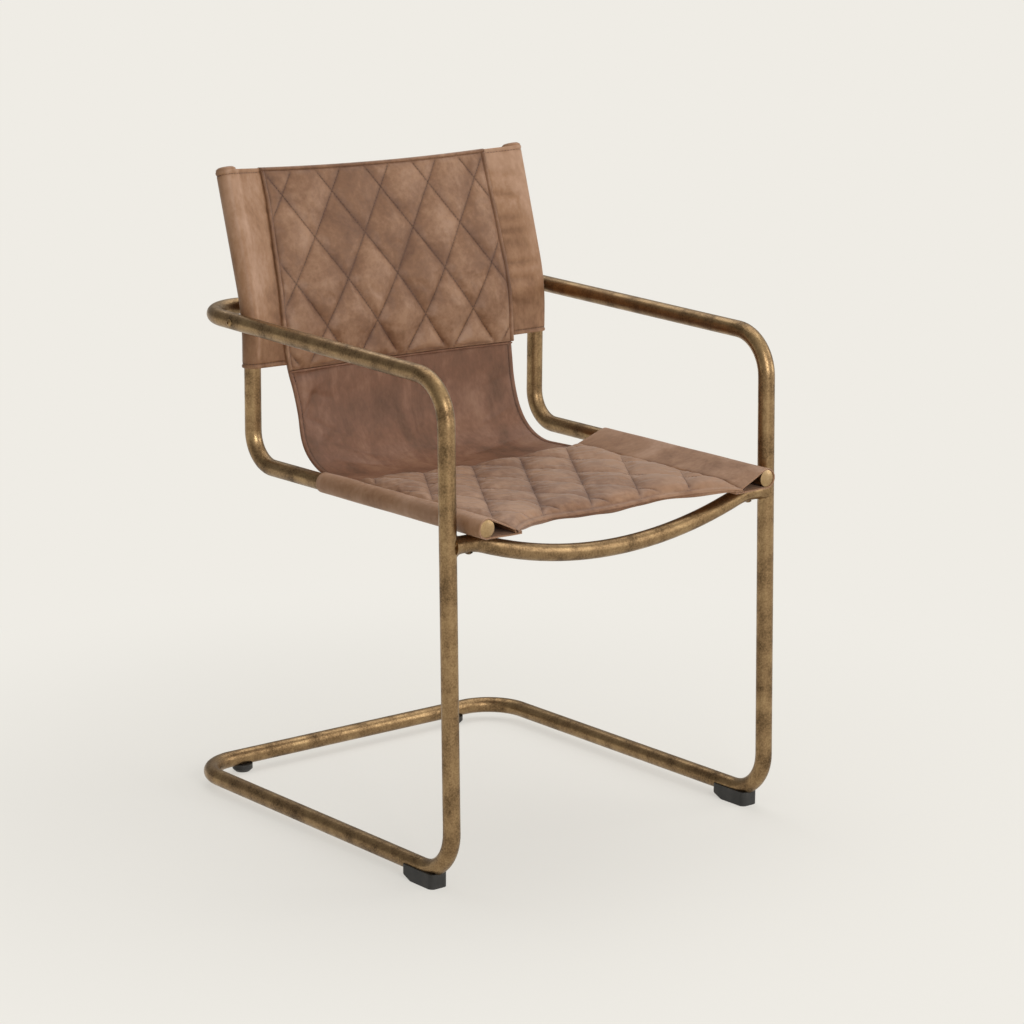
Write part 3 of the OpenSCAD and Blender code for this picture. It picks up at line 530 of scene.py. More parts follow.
def leather_colours(kind):
    """Dark, middle and light colour of one kind of leather, from the settings."""
    look = bpy.context.scene.armchair_leather
    return [look_hex(getattr(look, f"{kind}_{tone}")) for tone in ("dark", "middle", "light")]


def quilt_leather():
    return waxed_leather("waxed_quilt_leather", *leather_colours("quilt"), wrinkle=0.3,
                         turn=(0, 0, math.radians(-56)), bloom=0.18, spread=0.23)


def plain_leather():
    return waxed_leather("waxed_plain_leather", *leather_colours("plain"), streak=(1.3, 1.0, 0.6), wrinkle=0.25,
                         turn=(0, math.radians(35), 0), spread=0.26)


def sleeve_leather():
    return waxed_leather("waxed_sleeve_leather", *leather_colours("sleeve"), streak=(1.2, 1.0, 0.65), bloom=0.1)


def speckled(name, scale, detail, stops, **shader):
    """A material whose colour varies with one noise of the given scale."""
    material, tree, principled = new_material(name, **shader)
    if tree is None:
        return material, None, None, None
    spots = noise(tree, add_node(tree, "TexCoord").outputs["Object"], scale, detail)
    finish_shader(tree, principled, add_node(tree, "ValToRGB", {"Fac": spots}, stops=stops))
    return material, tree, principled, spots


def cut_leather():
    """The raw cut edge of vegetable-tanned leather: paler and duller than its face, with loose fibres of
    about 0.5 mm drawn at 1 mm."""
    return speckled("cut_leather_edge", 900.0, 3.0, [(0.3, "#7c5b44"), (0.7, "#9f7b61")], Roughness=0.85)[0]


def waxed_thread():
    """Twisted polyester thread, waxed: dark brown with a low sheen, its 0.3 mm twist shown as fine streaks."""
    return speckled("waxed_thread", 1400.0, 2.0, [(0.3, "#2f1f1a"), (0.7, "#5c4236")], Roughness=0.6)[0]


def moulded_plastic():
    """Black polypropylene with a fine spark-eroded mould texture: nearly matt, with a grain of about 0.5 mm that
    is drawn at 1 mm."""
    material, tree, shader, _ = speckled("black_polypropylene", 60.0, 3.0, [(0.35, "#1f1e1c"), (0.7, "#343230")],
                                         Roughness=0.5)
    if tree:
        grain = noise(tree, add_node(tree, "TexCoord").outputs["Object"], 1000.0, 2.0)
        bump = add_node(tree, "Bump", {"Height": grain, "Strength": 0.3, "Distance": 0.0002})
        finish_shader(tree, shader, bump=bump)
    return material


def zinc_steel():
    """Zinc-plated steel screws and sleeves: pale grey metal with faint clouds from the bath, 5 to 10 mm across."""
    material, tree, shader, bath = speckled("zinc_plated_steel", 140.0, 3.0, [(0.3, "#9a9892"), (0.7, "#c4c2bb")],
                                            Metallic=1.0)
    if tree:
        rough = add_node(tree, "MapRange", {"Value": bath, "To Min": 0.3, "To Max": 0.5})
        finish_shader(tree, shader, rough=rough)
    return material


def needled_felt():
    """Needled polyester felt: a matt off-white with short fibres of about 0.3 mm, drawn at 1 mm."""
    return speckled("needled_felt", 900.0, 4.0, [(0.3, "#a8a294"), (0.7, "#cbc5b7")], Roughness=0.95)[0]


# Leather pieces


def across(step, edge, strip=()):
    """Places across the sling: multiples of step out to the edge, then the given places of the edge strip."""
    count = int((edge - 0.35 * step) / step)
    middle = [k * step for k in range(-count, count + 1)]
    return np.array([-v for v in strip] + [-edge] + middle + [edge] + list(reversed(strip)))


def folded_edge(step, section):
    """Places across the sling with the section of its folded side edges, and the height of that section at each.
    The section is pairs of (distance from the middle, height), from the inside out."""
    places = [place for place, _ in section]
    xs = across(step, places[0], places[:0:-1])
    return xs, np.interp(np.abs(xs), places, [height for _, height in section])


def lattice_rows(lows, highs, phase, step):
    """Rows of lengths on the stitch lattice, held between two edges. A row that comes close to an edge is
    moved onto it, so no sliver is left."""
    first = math.floor((lows.min() - phase) / step)
    last = math.ceil((highs.max() - phase) / step)
    rows = np.array([np.full(lows.shape, phase + k * step) for k in range(first, last + 1)])
    rows = np.where(rows < lows + 0.35 * step, lows, rows)
    return np.where(rows > highs - 0.35 * step, highs, rows)


def stitch_diagonals(xs, rows, phase):
    """1 or -1 where a line of quilting runs through a cell from corner to corner, and 0 elsewhere."""
    x = (xs[:-1] + xs[1:]) / 2
    s = (rows[:-1, :-1] + rows[1:, 1:]) / 2 - phase
    fall = stitch_wave(x, s, 1) < 0.02
    rise = stitch_wave(x, s, -1) < 0.02
    return np.where(rise, 1, np.where(fall, -1, 0))


class PadRows:
    """The rows of points across a pad, each with its merge key, its outer and inner places, and its window and
    stitching. The rows between the two borders have their length along the sling as their key."""

    FIRST_BORDER = -1000.0
    LAST_BORDER = 5000.0

    def __init__(self, xs):
        self.xs = xs
        self.rows = []

    def add(self, key, s_out, t_out, s_in, t_in, window, sewn):
        self.rows.append([value + 0 * self.xs for value in (key, s_out, t_out, s_in, t_in, window, sewn)])

    def grids(self):
        return [np.array(grid) for grid in zip(*self.rows)]


def inflate(piece, pinned, growth):
    """Fills a closed pad by a cloth simulation and applies the result. The pinned points stay."""
    group = piece.vertex_groups.new(name="pinned")
    group.add([int(v) for v in pinned], 1.0, "REPLACE")
    cloth = piece.modifiers.new("filling", "CLOTH")
    settings = cloth.settings
    settings.vertex_group_mass = "pinned"
    settings.quality = 6
    settings.mass = 0.15
    settings.tension_stiffness = 12
    settings.compression_stiffness = 12
    settings.shear_stiffness = 4
    settings.bending_stiffness = 0.15
    settings.tension_damping = 8
    settings.compression_damping = 8
    settings.shrink_min = -growth
    settings.use_pressure = True
    settings.uniform_pressure_force = FILL_PRESSURE
    settings.effector_weights.gravity = 0
    cloth.point_cache.frame_start = 1
    cloth.point_cache.frame_end = FILL_FRAMES
    for moment in range(1, FILL_FRAMES + 1):
        bpy.context.scene.frame_set(moment)
    active_only(piece)
    bpy.ops.object.modifier_apply(modifier=cloth.name)
    bpy.context.scene.frame_set(1)
    piece.vertex_groups.clear()


def quilted_pad(name, xs, keys, s_outer, t_outer, s_inner, t_inner, window, sewn, phase, puff, weak, growth, painted_light):
    """One quilted panel: a closed pad over the stitch lattice, cut full between its lines of stitching and then
    filled. window is 1 where the filling may rise and 0 along the borders, sewn is 1 along the stitching of the
    edges, where dirt and painted shade darken the leather, weak is the share by which the second family of lines
    is pulled in, and the last argument is the light painted on the leather at each place: a painted highlight,
    and painted shade where it is negative."""
    off = np.minimum(*off_stitching(xs[None, :], s_outer - phase))
    diagonal = stitch_diagonals(xs, keys, phase)
    lift = cells(xs[None, :], s_outer, phase, weak) * window
    # The leather is painted darker within about a millimetre of its stitches: dirt, and painted shade in the stitch
    # groove
    seam = np.maximum(np.exp(-off / 1.1), sewn)
    outer = on_sling(np.broadcast_to(xs, keys.shape), s_outer, t_outer + puff * lift)
    inner = on_sling(np.broadcast_to(xs, keys.shape), s_inner, t_inner)
    # The filling may not move the borders or the lines of quilting
    held = (window < 0.4) | (off < 0.3)
    # The lift attribute paints the crowns of the cells paler, and adds the painted highlight and shade of the last
    # argument
    piece = skin(name, keys, outer, inner, diagonal, lift=lift + painted_light, seam=seam, held=held)
    mesh = piece.data
    fixed = (attribute(piece, "held") > 0.5) | (attribute(piece, "inside") > 0.5)
    before = coordinates(mesh)
    inflate(piece, np.nonzero(fixed)[0], growth)
    mesh = piece.data
    moved = coordinates(mesh) - before
    length = np.linalg.norm(moved, axis=1, keepdims=True)
    cap = FILL_CAP * MM
    moved *= cap * np.tanh(length / cap) / np.maximum(length, 1e-9)
    mesh.vertices.foreach_set("co", (before + moved).astype(np.float32).ravel())
    print(name, "fills out by", round(float(length.max() / MM), 2), "mm before it is held back")
    on_line = attribute(piece, "held") > 0.5
    free = attribute(piece, "seam") > 0.75

    def seams(a, b):
        return 0.85 * (on_line[a] & on_line[b] & free[a] & free[b])
    crease_edges(piece, seams)
    apply_subdivision(piece)
    smooth(piece, 50)
    return piece


def make_quilted_seat():
    """The quilted seat: a pad with its front edge turned down and under and its rear edge stitched flat."""
    look = bpy.context.scene.armchair_leather
    xs = across(STEP_X, 183.5, (HALF_W, SEAT_CELLS_X))
    edge = front_edge(xs)
    end = seat_end(xs)
    # Around the front edge the leather turns down and under: (along outside, height outside, along inside, height)
    hem = [(13, -2.2, 13, -0.9), (4, -2.7, 4, -1.2), (-1.0, -2.9, 0.5, -1.4), (-2.6, -2.0, -1.2, -1.0),
           (-3.0, -0.5, -1.5, -0.2), (-2.1, 0.2, -1.0, 0.4), (-3.0, 0.9, -1.5, 0.8), (-2.7, 2.4, -1.2, 1.8),
           (-1.5, 3.8, -0.3, 2.8), (0.8, 4.7, 1.6, 3.2), (3.2, 4.6, 3.4, 3.3)]
    wave = 0.8 * np.sin(xs / 23 + 1) + 0.5 * np.sin(xs / 9.5)
    lattice = lattice_rows(edge + 6.0, end - 5.0, SEAT_PHASE, STEP_S)
    tail = [(-2.4, QUILT_TOP, -2.4, QUILT_LOW), (-0.8, 6.4, -0.8, QUILT_LOW), (0, 5.6, 0, QUILT_LOW)]
    # How much darker each row of the hem is painted: painted shade where it turns under the front edge, and dirt and
    # painted shade at its line of stitches
    hem_shade_and_dirt = (0.7, 0.7, 0.8, 0.8, 0.9, 1.0, 0.6, 0.2, 0, 0.2, 0.6)
    # Painted sheen: the seat is painted paler towards its sides, most towards its right side where the light glances
    # off it, by how much at these places across
    painted_light = np.interp(xs, (-HALF_W, 0, 50, HALF_W), (1.8, 0.2, 0.6, 6.5))
    side = np.clip((186.6 - np.abs(xs)) / 14, 0, 1)
    pad = PadRows(xs)
    for k, (so, to, si, ti) in enumerate(hem):
        low = max(0, -to) / 2.9 * wave * side
        flat = 1 - 0.5 * pinched(xs, so)
        pad.add(pad.FIRST_BORDER + k, edge + so, to * flat - low, edge + si, ti * flat - low * (to < 0), 0,
                hem_shade_and_dirt[k])
    for row in lattice:
        face, free = seat_face(xs, row)
        pad.add(row, row, face, row, face - 1.6 - 0.3 * (row - edge > 12), free,
                np.exp(-np.abs(row - end + 3) / 1.5) * 0.6)
    for k, (so, to, si, ti) in enumerate(tail):
        pad.add(pad.LAST_BORDER + k, end + so, to, end + si, ti, 0, 0.3)
    piece = quilted_pad("quilted_seat_pad", xs, *pad.grids(), SEAT_PHASE, look.seat_puff, SEAT_WEAK, look.fullness,
                        painted_light)
    dress(piece, quilt_leather())
    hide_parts("quilted_seat", "seat_wadding")


def make_quilted_back():
    """The quilted back: a pad with its side edges folded and its top edge rolled over the sling's."""
    look = bpy.context.scene.armchair_leather
    # The side edges are folded into a strip 5 mm wide, with a valley where it is stitched down
    xs, strip = folded_edge(STEP_X, ((181.6, 6.4), (BACK_VALLEY_X, 5.6), (183.5, 7.3), (184.9, 8.7), (187.0, 8.7),
                                     (188.2, 7.6), (188.6, 5.8)))
    # How much darker the valley of each folded strip is painted: dirt and painted shade along its stitches
    beside = 0.75 * np.exp(-np.abs(np.abs(xs) - BACK_VALLEY_X) / 0.9)
    top = top_edge(xs)
    start = BACK_START_S + 0 * xs
    lattice = lattice_rows(start + 4.0, top - 5.6, BACK_PHASE, STEP_S)
    low = QUILT_LOW
    foot = [(0, 5.6, 0, low), (0.8, 6.5, 0.8, low), (2.4, QUILT_TOP, 2.4, low)]
    head = [(-4.6, 5.7, -4.6, low), (-3.9, 7.3, -3.9, low), (-2.4, 8.3, -2.4, low), (-0.6, 7.7, -0.9, low),
            (0.5, 6.0, -0.6, 4.0), (0.9, 3.4, -0.4, 3.0), (0.8, 0.6, -0.5, 1.6)]
    pad = PadRows(xs)
    for k, (so, to, si, ti) in enumerate(foot):
        pad.add(pad.FIRST_BORDER + k, start + so, strip + to - QUILT_TOP, start + si, ti, 0, beside)
    for row in lattice:
        pad.add(row, row, strip, row, low, back_free(xs, row), beside)
    for k, (so, to, si, ti) in enumerate(head):
        pad.add(pad.LAST_BORDER + k, top + so, np.maximum(to, strip + to - 7.9) if to > 6.5 else to, top + si, ti, 0,
                np.maximum(beside, 0.75 * (k == 0)))
    grids = pad.grids()
    # Painted light: the lowest rows of the back are painted paler, against the shade that falls on them, and the rows
    # above a little darker
    painted_light = np.interp(grids[1], (BACK_START_S, BACK_START_S + 90, SLING_L), (1.6, -0.4, -0.4))
    piece = quilted_pad("quilted_back_pad", xs, *grids, BACK_PHASE, look.back_puff, BACK_WEAK, look.fullness * 0.7,
                        painted_light)
    dress(piece, quilt_leather())
    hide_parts("quilted_back", "back_wadding")


# Creases of the plain leather under the quilted back: (x0, s0, x1, s1, width, depth)
PLAIN_CREASES = [
    (-165, 470, -70, 425, 5, -1.0), (-180, 500, -110, 462, 4, -0.8), (-150, 430, -60, 395, 6, -0.9),
    (40, 395, 150, 410, 6, -0.8), (90, 440, 178, 470, 5, -0.8), (-60, 372, 60, 380, 8, -0.7),
    (-20, 430, 80, 424, 7, -0.5), (120, 500, 180, 520, 4, -0.6), (-175, 535, -120, 520, 4, -0.5),
    (-178, UP_END - 32, -148, UP_END + 8, 4.5, -1.6), (-172, UP_END - 80, -138, UP_END - 60, 5, -1.6),
    (-184, UP_END + 26, -118, UP_END + 32, 5, -1.1)]


def make_sling():
    """The sling body: one long hide with its edges folded and stitched, plain between the two quilted panels."""
    xs, fold = folded_edge(3.0, ((179.0, 0), (PLAIN_VALLEY_X, -0.5), (181.2, 0.5), (182.6, 1.3), (184.8, 1.3),
                                 (186.4, 0.6), (187.0, -0.9)))
    low, top = front_edge(xs) + 1.4, top_edge(xs) - 0.6
    even = np.linspace(0, 1, 320)[:, None]
    rows = low + (top - low) * even
    plain = np.clip((rows - SEAT_END_S + 12) / 8, 0, 1) * np.clip((BACK_START_S - 1 - rows) / 4, 0, 1)
    grid_x = np.broadcast_to(xs, rows.shape)
    dents = creased(grid_x, rows, PLAIN_CREASES)
    front = SLING_T + plain * (fold + 1.5 * dents)
    back = 1.2 * plain * dents + 0.6 * (np.abs(grid_x) > 186.8)
    # The valley of each folded edge is painted darker: dirt and painted shade along its stitches
    seam = np.exp(-np.abs(np.abs(grid_x) - PLAIN_VALLEY_X) / 1.5) * plain
    # Through the lift attribute the creases are painted darker: painted shade
    piece = skin("leather_sling", rows, on_sling(grid_x, rows, front), on_sling(grid_x, rows, back),
                 lift=dents * plain, seam=seam)
    smooth(piece, 60)
    dress(piece, plain_leather())
    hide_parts("sling_body")


PIPING_R = 1.6


def make_piping():
    """Piping in the seam under the quilted back, its ends tapered where they are tucked in."""
    xs = np.linspace(-186.4, 186.4, 94)
    s = BACK_START_S - 2.2
    radius = PIPING_R * np.clip((187.6 - np.abs(xs)) / 3.5, 0.35, 1) ** 0.5
    ring = np.radians(np.arange(0, 360, 36))
    points = on_sling(xs[:, None], s + radius[:, None] * np.cos(ring),
                      3.0 + PIPING_R + radius[:, None] * np.sin(ring))
    sides = len(ring)
    faces = [(i * sides + k, i * sides + (k + 1) % sides, (i + 1) * sides + (k + 1) % sides, (i + 1) * sides + k)
             for i in range(len(xs) - 1) for k in range(sides)]
    faces += [tuple(range(sides)), tuple((len(xs) - 1) * sides + k for k in reversed(range(sides)))]
    piece = mesh_piece("seam_piping", points.reshape(-1, 3), faces)
    smooth(piece, 60)
    dress(piece, plain_leather())
    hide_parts("back_piping")


def arc(centre, radius, start, stop, count):
    angles = np.radians(np.linspace(start, stop, count))
    return [(centre[0] + radius * math.cos(a), centre[1] + radius * math.sin(a)) for a in angles]


def tangent_angle(point, radius, side):
    """Angle on a circle round the origin at which the line from point touches it, above (1) or below (-1)."""
    base = math.degrees(math.atan2(point[1], point[0]))
    return base + side * math.degrees(math.acos(radius / math.hypot(*point)))


# Radius of the middle of the leather round a tube, the thickness of that leather, and how far the lower layer of a
# lip lies under the upper one
SLEEVE_R = 12.3
SLEEVE_T = 2.0
LIP_GAP = 2.1
# How far from the edge of a hem its stitches run
HEM_STITCH = 5.6


def sleeve_section(seam, level, under, lip):
    """Middle line of a sleeve's leather in its section: from the end of the upper layer of the lip, up the seam,
    over the tube, round it and back to the end of the lower layer. The tube is at the origin."""
    low = under - LIP_GAP
    upper = tangent_angle((seam, level), SLEEVE_R, 1)
    lower = tangent_angle((seam - 1.0, low), SLEEVE_R, -1)
    start = np.array(arc((0, 0), SLEEVE_R, upper, upper, 1)[0])
    stop = np.array(arc((0, 0), SLEEVE_R, lower, lower, 1)[0])
    web = [tuple((seam, level) + (start - (seam, level)) * k) for k in np.linspace(0.08, 0.96, 9)]
    back = [tuple(stop + ((seam - 1.0, low) - stop) * k) for k in np.linspace(0.06, 0.94, 6)]
    path = [(seam + lip, under), (seam + 0.6 * lip, under), (seam + 0.3 * lip, under), (seam + 2.4, under),
            (seam + 1.4, under + 0.5), (seam + 1.1, under + 1.6), (seam + 1.1, (under + level) / 2),
            (seam + 1.0, level - 1.2), (seam + 0.5, level - 0.3)]
    path += web + arc((0, 0), SLEEVE_R, upper, lower + 360, 26) + back
    path += [(seam + 1.0, low), (seam + 0.4 * lip, low), (seam + lip, low)]
    return np.array(path)


def offset_section(path, by):
    """The section moved outwards, to the right of its own direction, by a distance."""
    ahead = np.gradient(path, axis=0)
    ahead /= np.linalg.norm(ahead, axis=1, keepdims=True)
    normal = np.stack([ahead[:, 1], -ahead[:, 0]], 1)
    return path + normal * np.reshape(by, (-1, 1))


def sleeve(name, side, places, frames, seams, levels, under, lip, dents, hems):
    """A sleeve of leather sewn round a tube. places are lengths along the tube, frames the tube's centre, the
    inboard and the upward direction at each, seams and levels the place of the seam in each section."""
    outer, inner, key, lift, seam_dirt_and_shade = [], [], [], [], []
    for k, place in enumerate(places):
        path = sleeve_section(seams[k], levels[k], under[k], lip)
        centre, inboard, upward = frames[k]
        end = min(place - places[0], places[-1] - place)
        # The hem is one layer thicker, with a groove at its stitches
        more = (0.7 if end < 4.9 else -0.5 if end < 6.3 else 0) if hems else 0
        half = SLEEVE_T / 2 - (0.35 if end < 0.3 else 0)
        dent = dents(path, place, seams[k])
        out_path = offset_section(path, half + more - dent)
        in_path = offset_section(path, -half - 0.9 * dent)
        for chosen, store in ((out_path, outer), (in_path, inner)):
            store.append(centre + chosen[:, :1] * inboard + chosen[:, 1:] * upward)
        key.append(np.full(len(path), float(place)))
        # The leather is painted darker near its seam and near the stitches of its hems: dirt and painted shade
        away = np.abs(path[:, 0] - seams[k]) + (path[:, 1] < levels[k] - 2) * 6
        mark = np.exp(-away / 2.5)
        if hems:
            mark = np.maximum(mark, math.exp(-abs(end - HEM_STITCH)))
        seam_dirt_and_shade.append(mark)
        # Painted highlight: the leather is painted paler where it faces up on the rails and forward on the posts, a
        # highlight that also stands for wear, and painted shade darkens its creases
        painted_light = np.clip(np.cos(np.arctan2(path[:, 0], path[:, 1])), 0, 1) * (path[:, 0] < 12) - 0.9 * dent
        if hems:
            # On the posts it is also painted paler towards the top and darker towards the bottom, and a painted sheen
            # highlight runs up in a streak beside the tube
            far = place / places[-1]
            highlight_weight, gain, base = (3.4, 1.3, -1.3) if side < 0 else (1.2, 3.6, -1.8)
            streak = np.exp(-((path[:, 0] - 1 - 8 * far) / 2.6) ** 2) * (path[:, 1] > 0)
            painted_light = painted_light + highlight_weight * streak + (gain * far + base)
        lift.append(painted_light)
    piece = skin(name, np.array(key), np.array(outer), np.array(inner), lift=np.array(lift),
                 seam=np.array(seam_dirt_and_shade))
    smooth(piece, 50)
    return piece


def rail_heading(side):
    ahead = np.array([side * (POST_X - RAIL_FRONT_X), POST_Y - RAIL_FRONT_Y, 0.0])
    return ahead / np.linalg.norm(ahead)


def rail_frames(side, places):
    """Centre of the rail, inboard and upward directions, at each length from the front end of its sleeve."""
    ahead = rail_heading(side)
    front = np.array([side * RAIL_FRONT_X, RAIL_FRONT_Y, RAIL_Z])
    inboard = np.cross(ahead, [0, 0, 1]) * -side
    return [(front + ahead * (place - 3.0), inboard, np.array([0.0, 0.0, 1.0])) for place in places]


def post_frames(side, places):
    """Centre of the post, inboard and forward directions, at each length above the lower hem."""
    bend_start = KINK_START_Z - SLEEVE_LOW_Z
    made = []
    for place in places:
        turn = min(max(place - bend_start, 0) / KINK_R, LEAN)
        rest = max(0, place - bend_start - KINK_R * LEAN)
        y = POST_Y + KINK_R * (1 - math.cos(turn)) + rest * math.sin(LEAN)
        z = SLEEVE_LOW_Z + min(place, bend_start) + KINK_R * math.sin(turn) + rest * math.cos(LEAN)
        made.append((np.array([side * POST_X, y, z]), np.array([-side, 0.0, 0.0]),
                     np.array([0.0, -math.cos(turn), math.sin(turn)])))
    return made


# The seam of a back sleeve, inboard and in front of the middle of its post, how far its lip lies behind the seam, and
# the lip's width
BACK_SEAM = 50.6
BACK_SEAM_FRONT = 11.4
BACK_STEP = 6.2
BACK_LIP = 12.0
SLEEVE_S = s_at_height(SLEEVE_LOW_Z)
BACK_SLEEVE_L = (KINK_START_Z - SLEEVE_LOW_Z + KINK_R * LEAN
                 + (BACK_TOP_Z - KINK_START_Z - KINK_R * math.sin(LEAN)) / math.cos(LEAN))


def post_seam(side, places):
    """Distance inboard and height of the seam of a back sleeve, from the middle of its post, at each length."""
    along = SLEEVE_S + np.asarray(places, float)
    return BACK_SEAM + (left_shift(along) if side < 0 else 0 * along), BACK_SEAM_FRONT - setback(along)


def sleeve_places(length, step, hem=True):
    """Places along a sleeve: close together at its ends, and about a step apart between them."""
    ends = [0, 0.5, 2.5, 5.0, 5.3, 5.9, 6.4, 8.0] if hem else [0, 0.6, 2.0, 5.0]
    middle = np.linspace(ends[-1], length - ends[-1], max(2, int(length / step)))
    return np.concatenate([ends[:-1], middle, [length - v for v in reversed(ends[:-1])]])


# Height of the upper layer of the lip of a seat sleeve, from the middle of its rail, the lip's width, and how far
# the seam lies outside the edge of the sling
RAIL_LIP = -10.9
RAIL_LIP_W = 11.0
RAIL_SEAM_GAP = 2.2


def make_seat_sleeves():
    """Sleeves round the seat rails, with cut ends."""
    for side, label in ((-1, "left"), (1, "right")):
        places = sleeve_places(SEAT_SLEEVE_L, 6.0, hem=False)
        frames = rail_frames(side, places)
        seams = [abs(centre[0]) - HALF_W - RAIL_SEAM_GAP for centre, _, _ in frames]
        # The seam is pulled down at the front end
        levels = np.interp(places, (0, 8, 25, 50, 200, 328), (-7.4, -6.6, -3.4, -1.8, -3.6, -4.0))

        def dents(path, place, seam, side=side):
            web = np.clip((path[:, 0] - 12) / 12, 0, 1) * (path[:, 1] > -8)
            ripple = 0.35 * np.sin(place / 13 + side) + 0.25 * np.sin(place / 7.1 + 2 * side)
            return web * ripple + 0.12 * np.sin(place / 21 + path[:, 0] / 9)
        piece = sleeve(f"{label}_rail_sleeve", side, places, frames, seams, levels, 0 * levels + RAIL_LIP,
                       RAIL_LIP_W, dents, False)
        dress(piece, sleeve_leather())
        # The two ends of the leather are cut, not hemmed
        piece.data.materials.append(cut_leather())
        ahead = rail_heading(side)
        for face in piece.data.polygons:
            if abs(np.dot(face.normal, ahead)) > 0.8 and face.area < 3e-4:
                place = np.dot(np.array(face.center) / MM - frames[0][0], ahead)
                if place < 1 or place > SEAT_SLEEVE_L - 1:
                    face.material_index = 1
        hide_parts(f"{label}_seat_sleeve")


# Heights along the right back sleeve of the creases that run out from its seam, and their depths
RIGHT_CREASES = [(40, 1.8), (72, 2.2), (97, 3.0), (118, 2.0), (139, 2.8), (161, 2.2), (188, 2.8), (221, 1.8)]
LEFT_CREASES = [(60, 0.6), (150, 0.6), (205, 0.8)]


def make_back_sleeves():
    """Sleeves round the back posts, hemmed at both ends and creased from their seams."""
    for side, label, creases in ((-1, "left", LEFT_CREASES), (1, "right", RIGHT_CREASES)):
        places = sleeve_places(BACK_SLEEVE_L, 4.0)
        frames = post_frames(side, places)
        seams, levels = post_seam(side, places)

        def dents(path, place, seam, side=side, creases=creases):
            front = (path[:, 1] > path[8, 1] - 0.6) & (path[:, 0] > 2) & (path[:, 0] < seam + 1)
            web = np.clip((path[:, 0] + 2) / 26, 0, 1) * front
            deep = sum(d * np.exp(-((place - h - path[:, 0] * (0.16 - 0.1 * (k % 3))) / (4.0 + 1.5 * (k % 2))) ** 2)
                       for k, (h, d) in enumerate(creases))
            streaks = 0.16 * np.sin(path[:, 0] / 2.3 + place / 90 + side) * (path[:, 1] > -6)
            return web * deep + streaks
        piece = sleeve(f"{label}_post_sleeve", side, places, frames, seams, levels, levels - BACK_STEP, BACK_LIP,
                       dents, True)
        dress(piece, sleeve_leather())
        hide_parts(f"{label}_back_sleeve")


CAP_R = 13.2
CAP_T = 3.2


def make_post_caps():
    """Round leather caps over the tops of the posts, each pulled down at its rim by the stitching."""
    for side, label in ((-1, "left"), (1, "right")):
        centre = Vector(post_frames(side, [BACK_SLEEVE_L])[0][0] * MM)
        deselect_all()
        bpy.ops.mesh.primitive_cylinder_add(vertices=48, radius=CAP_R * MM, depth=CAP_T * MM,
                                            location=centre, end_fill_type="NGON")
        cap = bpy.context.active_object
        cap.name = cap.data.name = f"{label}_leather_cap"
        bpy.ops.object.transform_apply(location=True, rotation=False, scale=False)
        bpy.ops.object.mode_set(mode="EDIT")
        bpy.ops.mesh.select_mode(type="FACE")
        for inset, rise in ((0.7, 0.9), (2.0, 0.8), (3.0, 0.6), (3.5, 0.3)):
            select_faces(cap, lambda f: f.normal.z > 0.9)
            bpy.ops.mesh.inset(thickness=inset * MM)
            bpy.ops.transform.translate(value=(0, 0, rise * MM))
        bpy.ops.mesh.select_all(action="SELECT")
        bpy.ops.transform.translate(value=(0, 0, 0.6 * MM))
        bpy.ops.transform.rotate(value=LEAN, orient_axis="X", orient_type="GLOBAL", center_override=centre)
        bpy.ops.object.mode_set(mode="OBJECT")
        if np.mean([v.co.y for v in cap.data.vertices]) < centre.y:
            # With no window the turn goes the other way
            bpy.ops.object.mode_set(mode="EDIT")
            bpy.ops.transform.rotate(value=-2 * LEAN, orient_axis="X", orient_type="GLOBAL", center_override=centre)
            bpy.ops.object.mode_set(mode="OBJECT")
        face_outwards(cap)
        smooth(cap, 50)
        dress(cap, sleeve_leather())
        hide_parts(f"{label}_post_cap")


def select_faces(piece, chosen):
    """Selects, in edit mode, the faces that a test picks."""
    shape = bmesh.from_edit_mesh(piece.data)
    for face in shape.faces:
        face.select_set(bool(chosen(face)))
    bmesh.update_edit_mesh(piece.data)


# Stitches


# Length of a stitch and radius of its thread
STITCH_L = 3.1
THREAD_R = 0.38


def stitches(name, runs):
    """Short raised stitches along lines. Each run is (points, normals) in millimetres, close together."""
    points, faces = [], []
    pitch = bpy.context.scene.armchair_leather.stitch_pitch / MM
    ring = np.radians(np.arange(0, 360, 72))
    for line, normals in runs:
        steps = np.linalg.norm(np.diff(line, axis=0), axis=1)
        reach = np.concatenate([[0], np.cumsum(steps)])
        for place in np.arange(pitch / 2, reach[-1] - pitch / 2, pitch):
            ends = [np.array([np.interp(place + d, reach, line[:, c]) for c in range(3)])
                    for d in (-STITCH_L / 2, 0, STITCH_L / 2)]
            up = np.array([np.interp(place, reach, normals[:, c]) for c in range(3)])
            up /= np.linalg.norm(up)
            ahead = ends[2] - ends[0]
            ahead /= np.linalg.norm(ahead)
            beside = np.cross(up, ahead)
            base = len(points)
            for at, (size, height) in zip(ends, ((0.55, -0.35), (1.0, 0.25), (0.55, -0.35))):
                for a in ring:
                    points.append(at + THREAD_R * (size * (np.cos(a) * beside + np.sin(a) * up) + height * up))
            faces.append(tuple(base + k for k in reversed(range(5))))
            faces.append(tuple(base + 10 + k for k in range(5)))
            for level in (0, 5):
                for k in range(5):
                    n = (k + 1) % 5
                    faces.append((base + level + k, base + level + n, base + level + 5 + n, base + level + 5 + k))
    piece = mesh_piece(name, points, faces, merge=False)
    smooth(piece, 80)
    dress(piece, waxed_thread())


def sling_line(x, s, t):
    """A line of stitching on the sling, with its normals."""
    at = on_sling(x, s, t)
    out = on_sling(x, s, np.asarray(t) + 1.0) - at
    return at, out


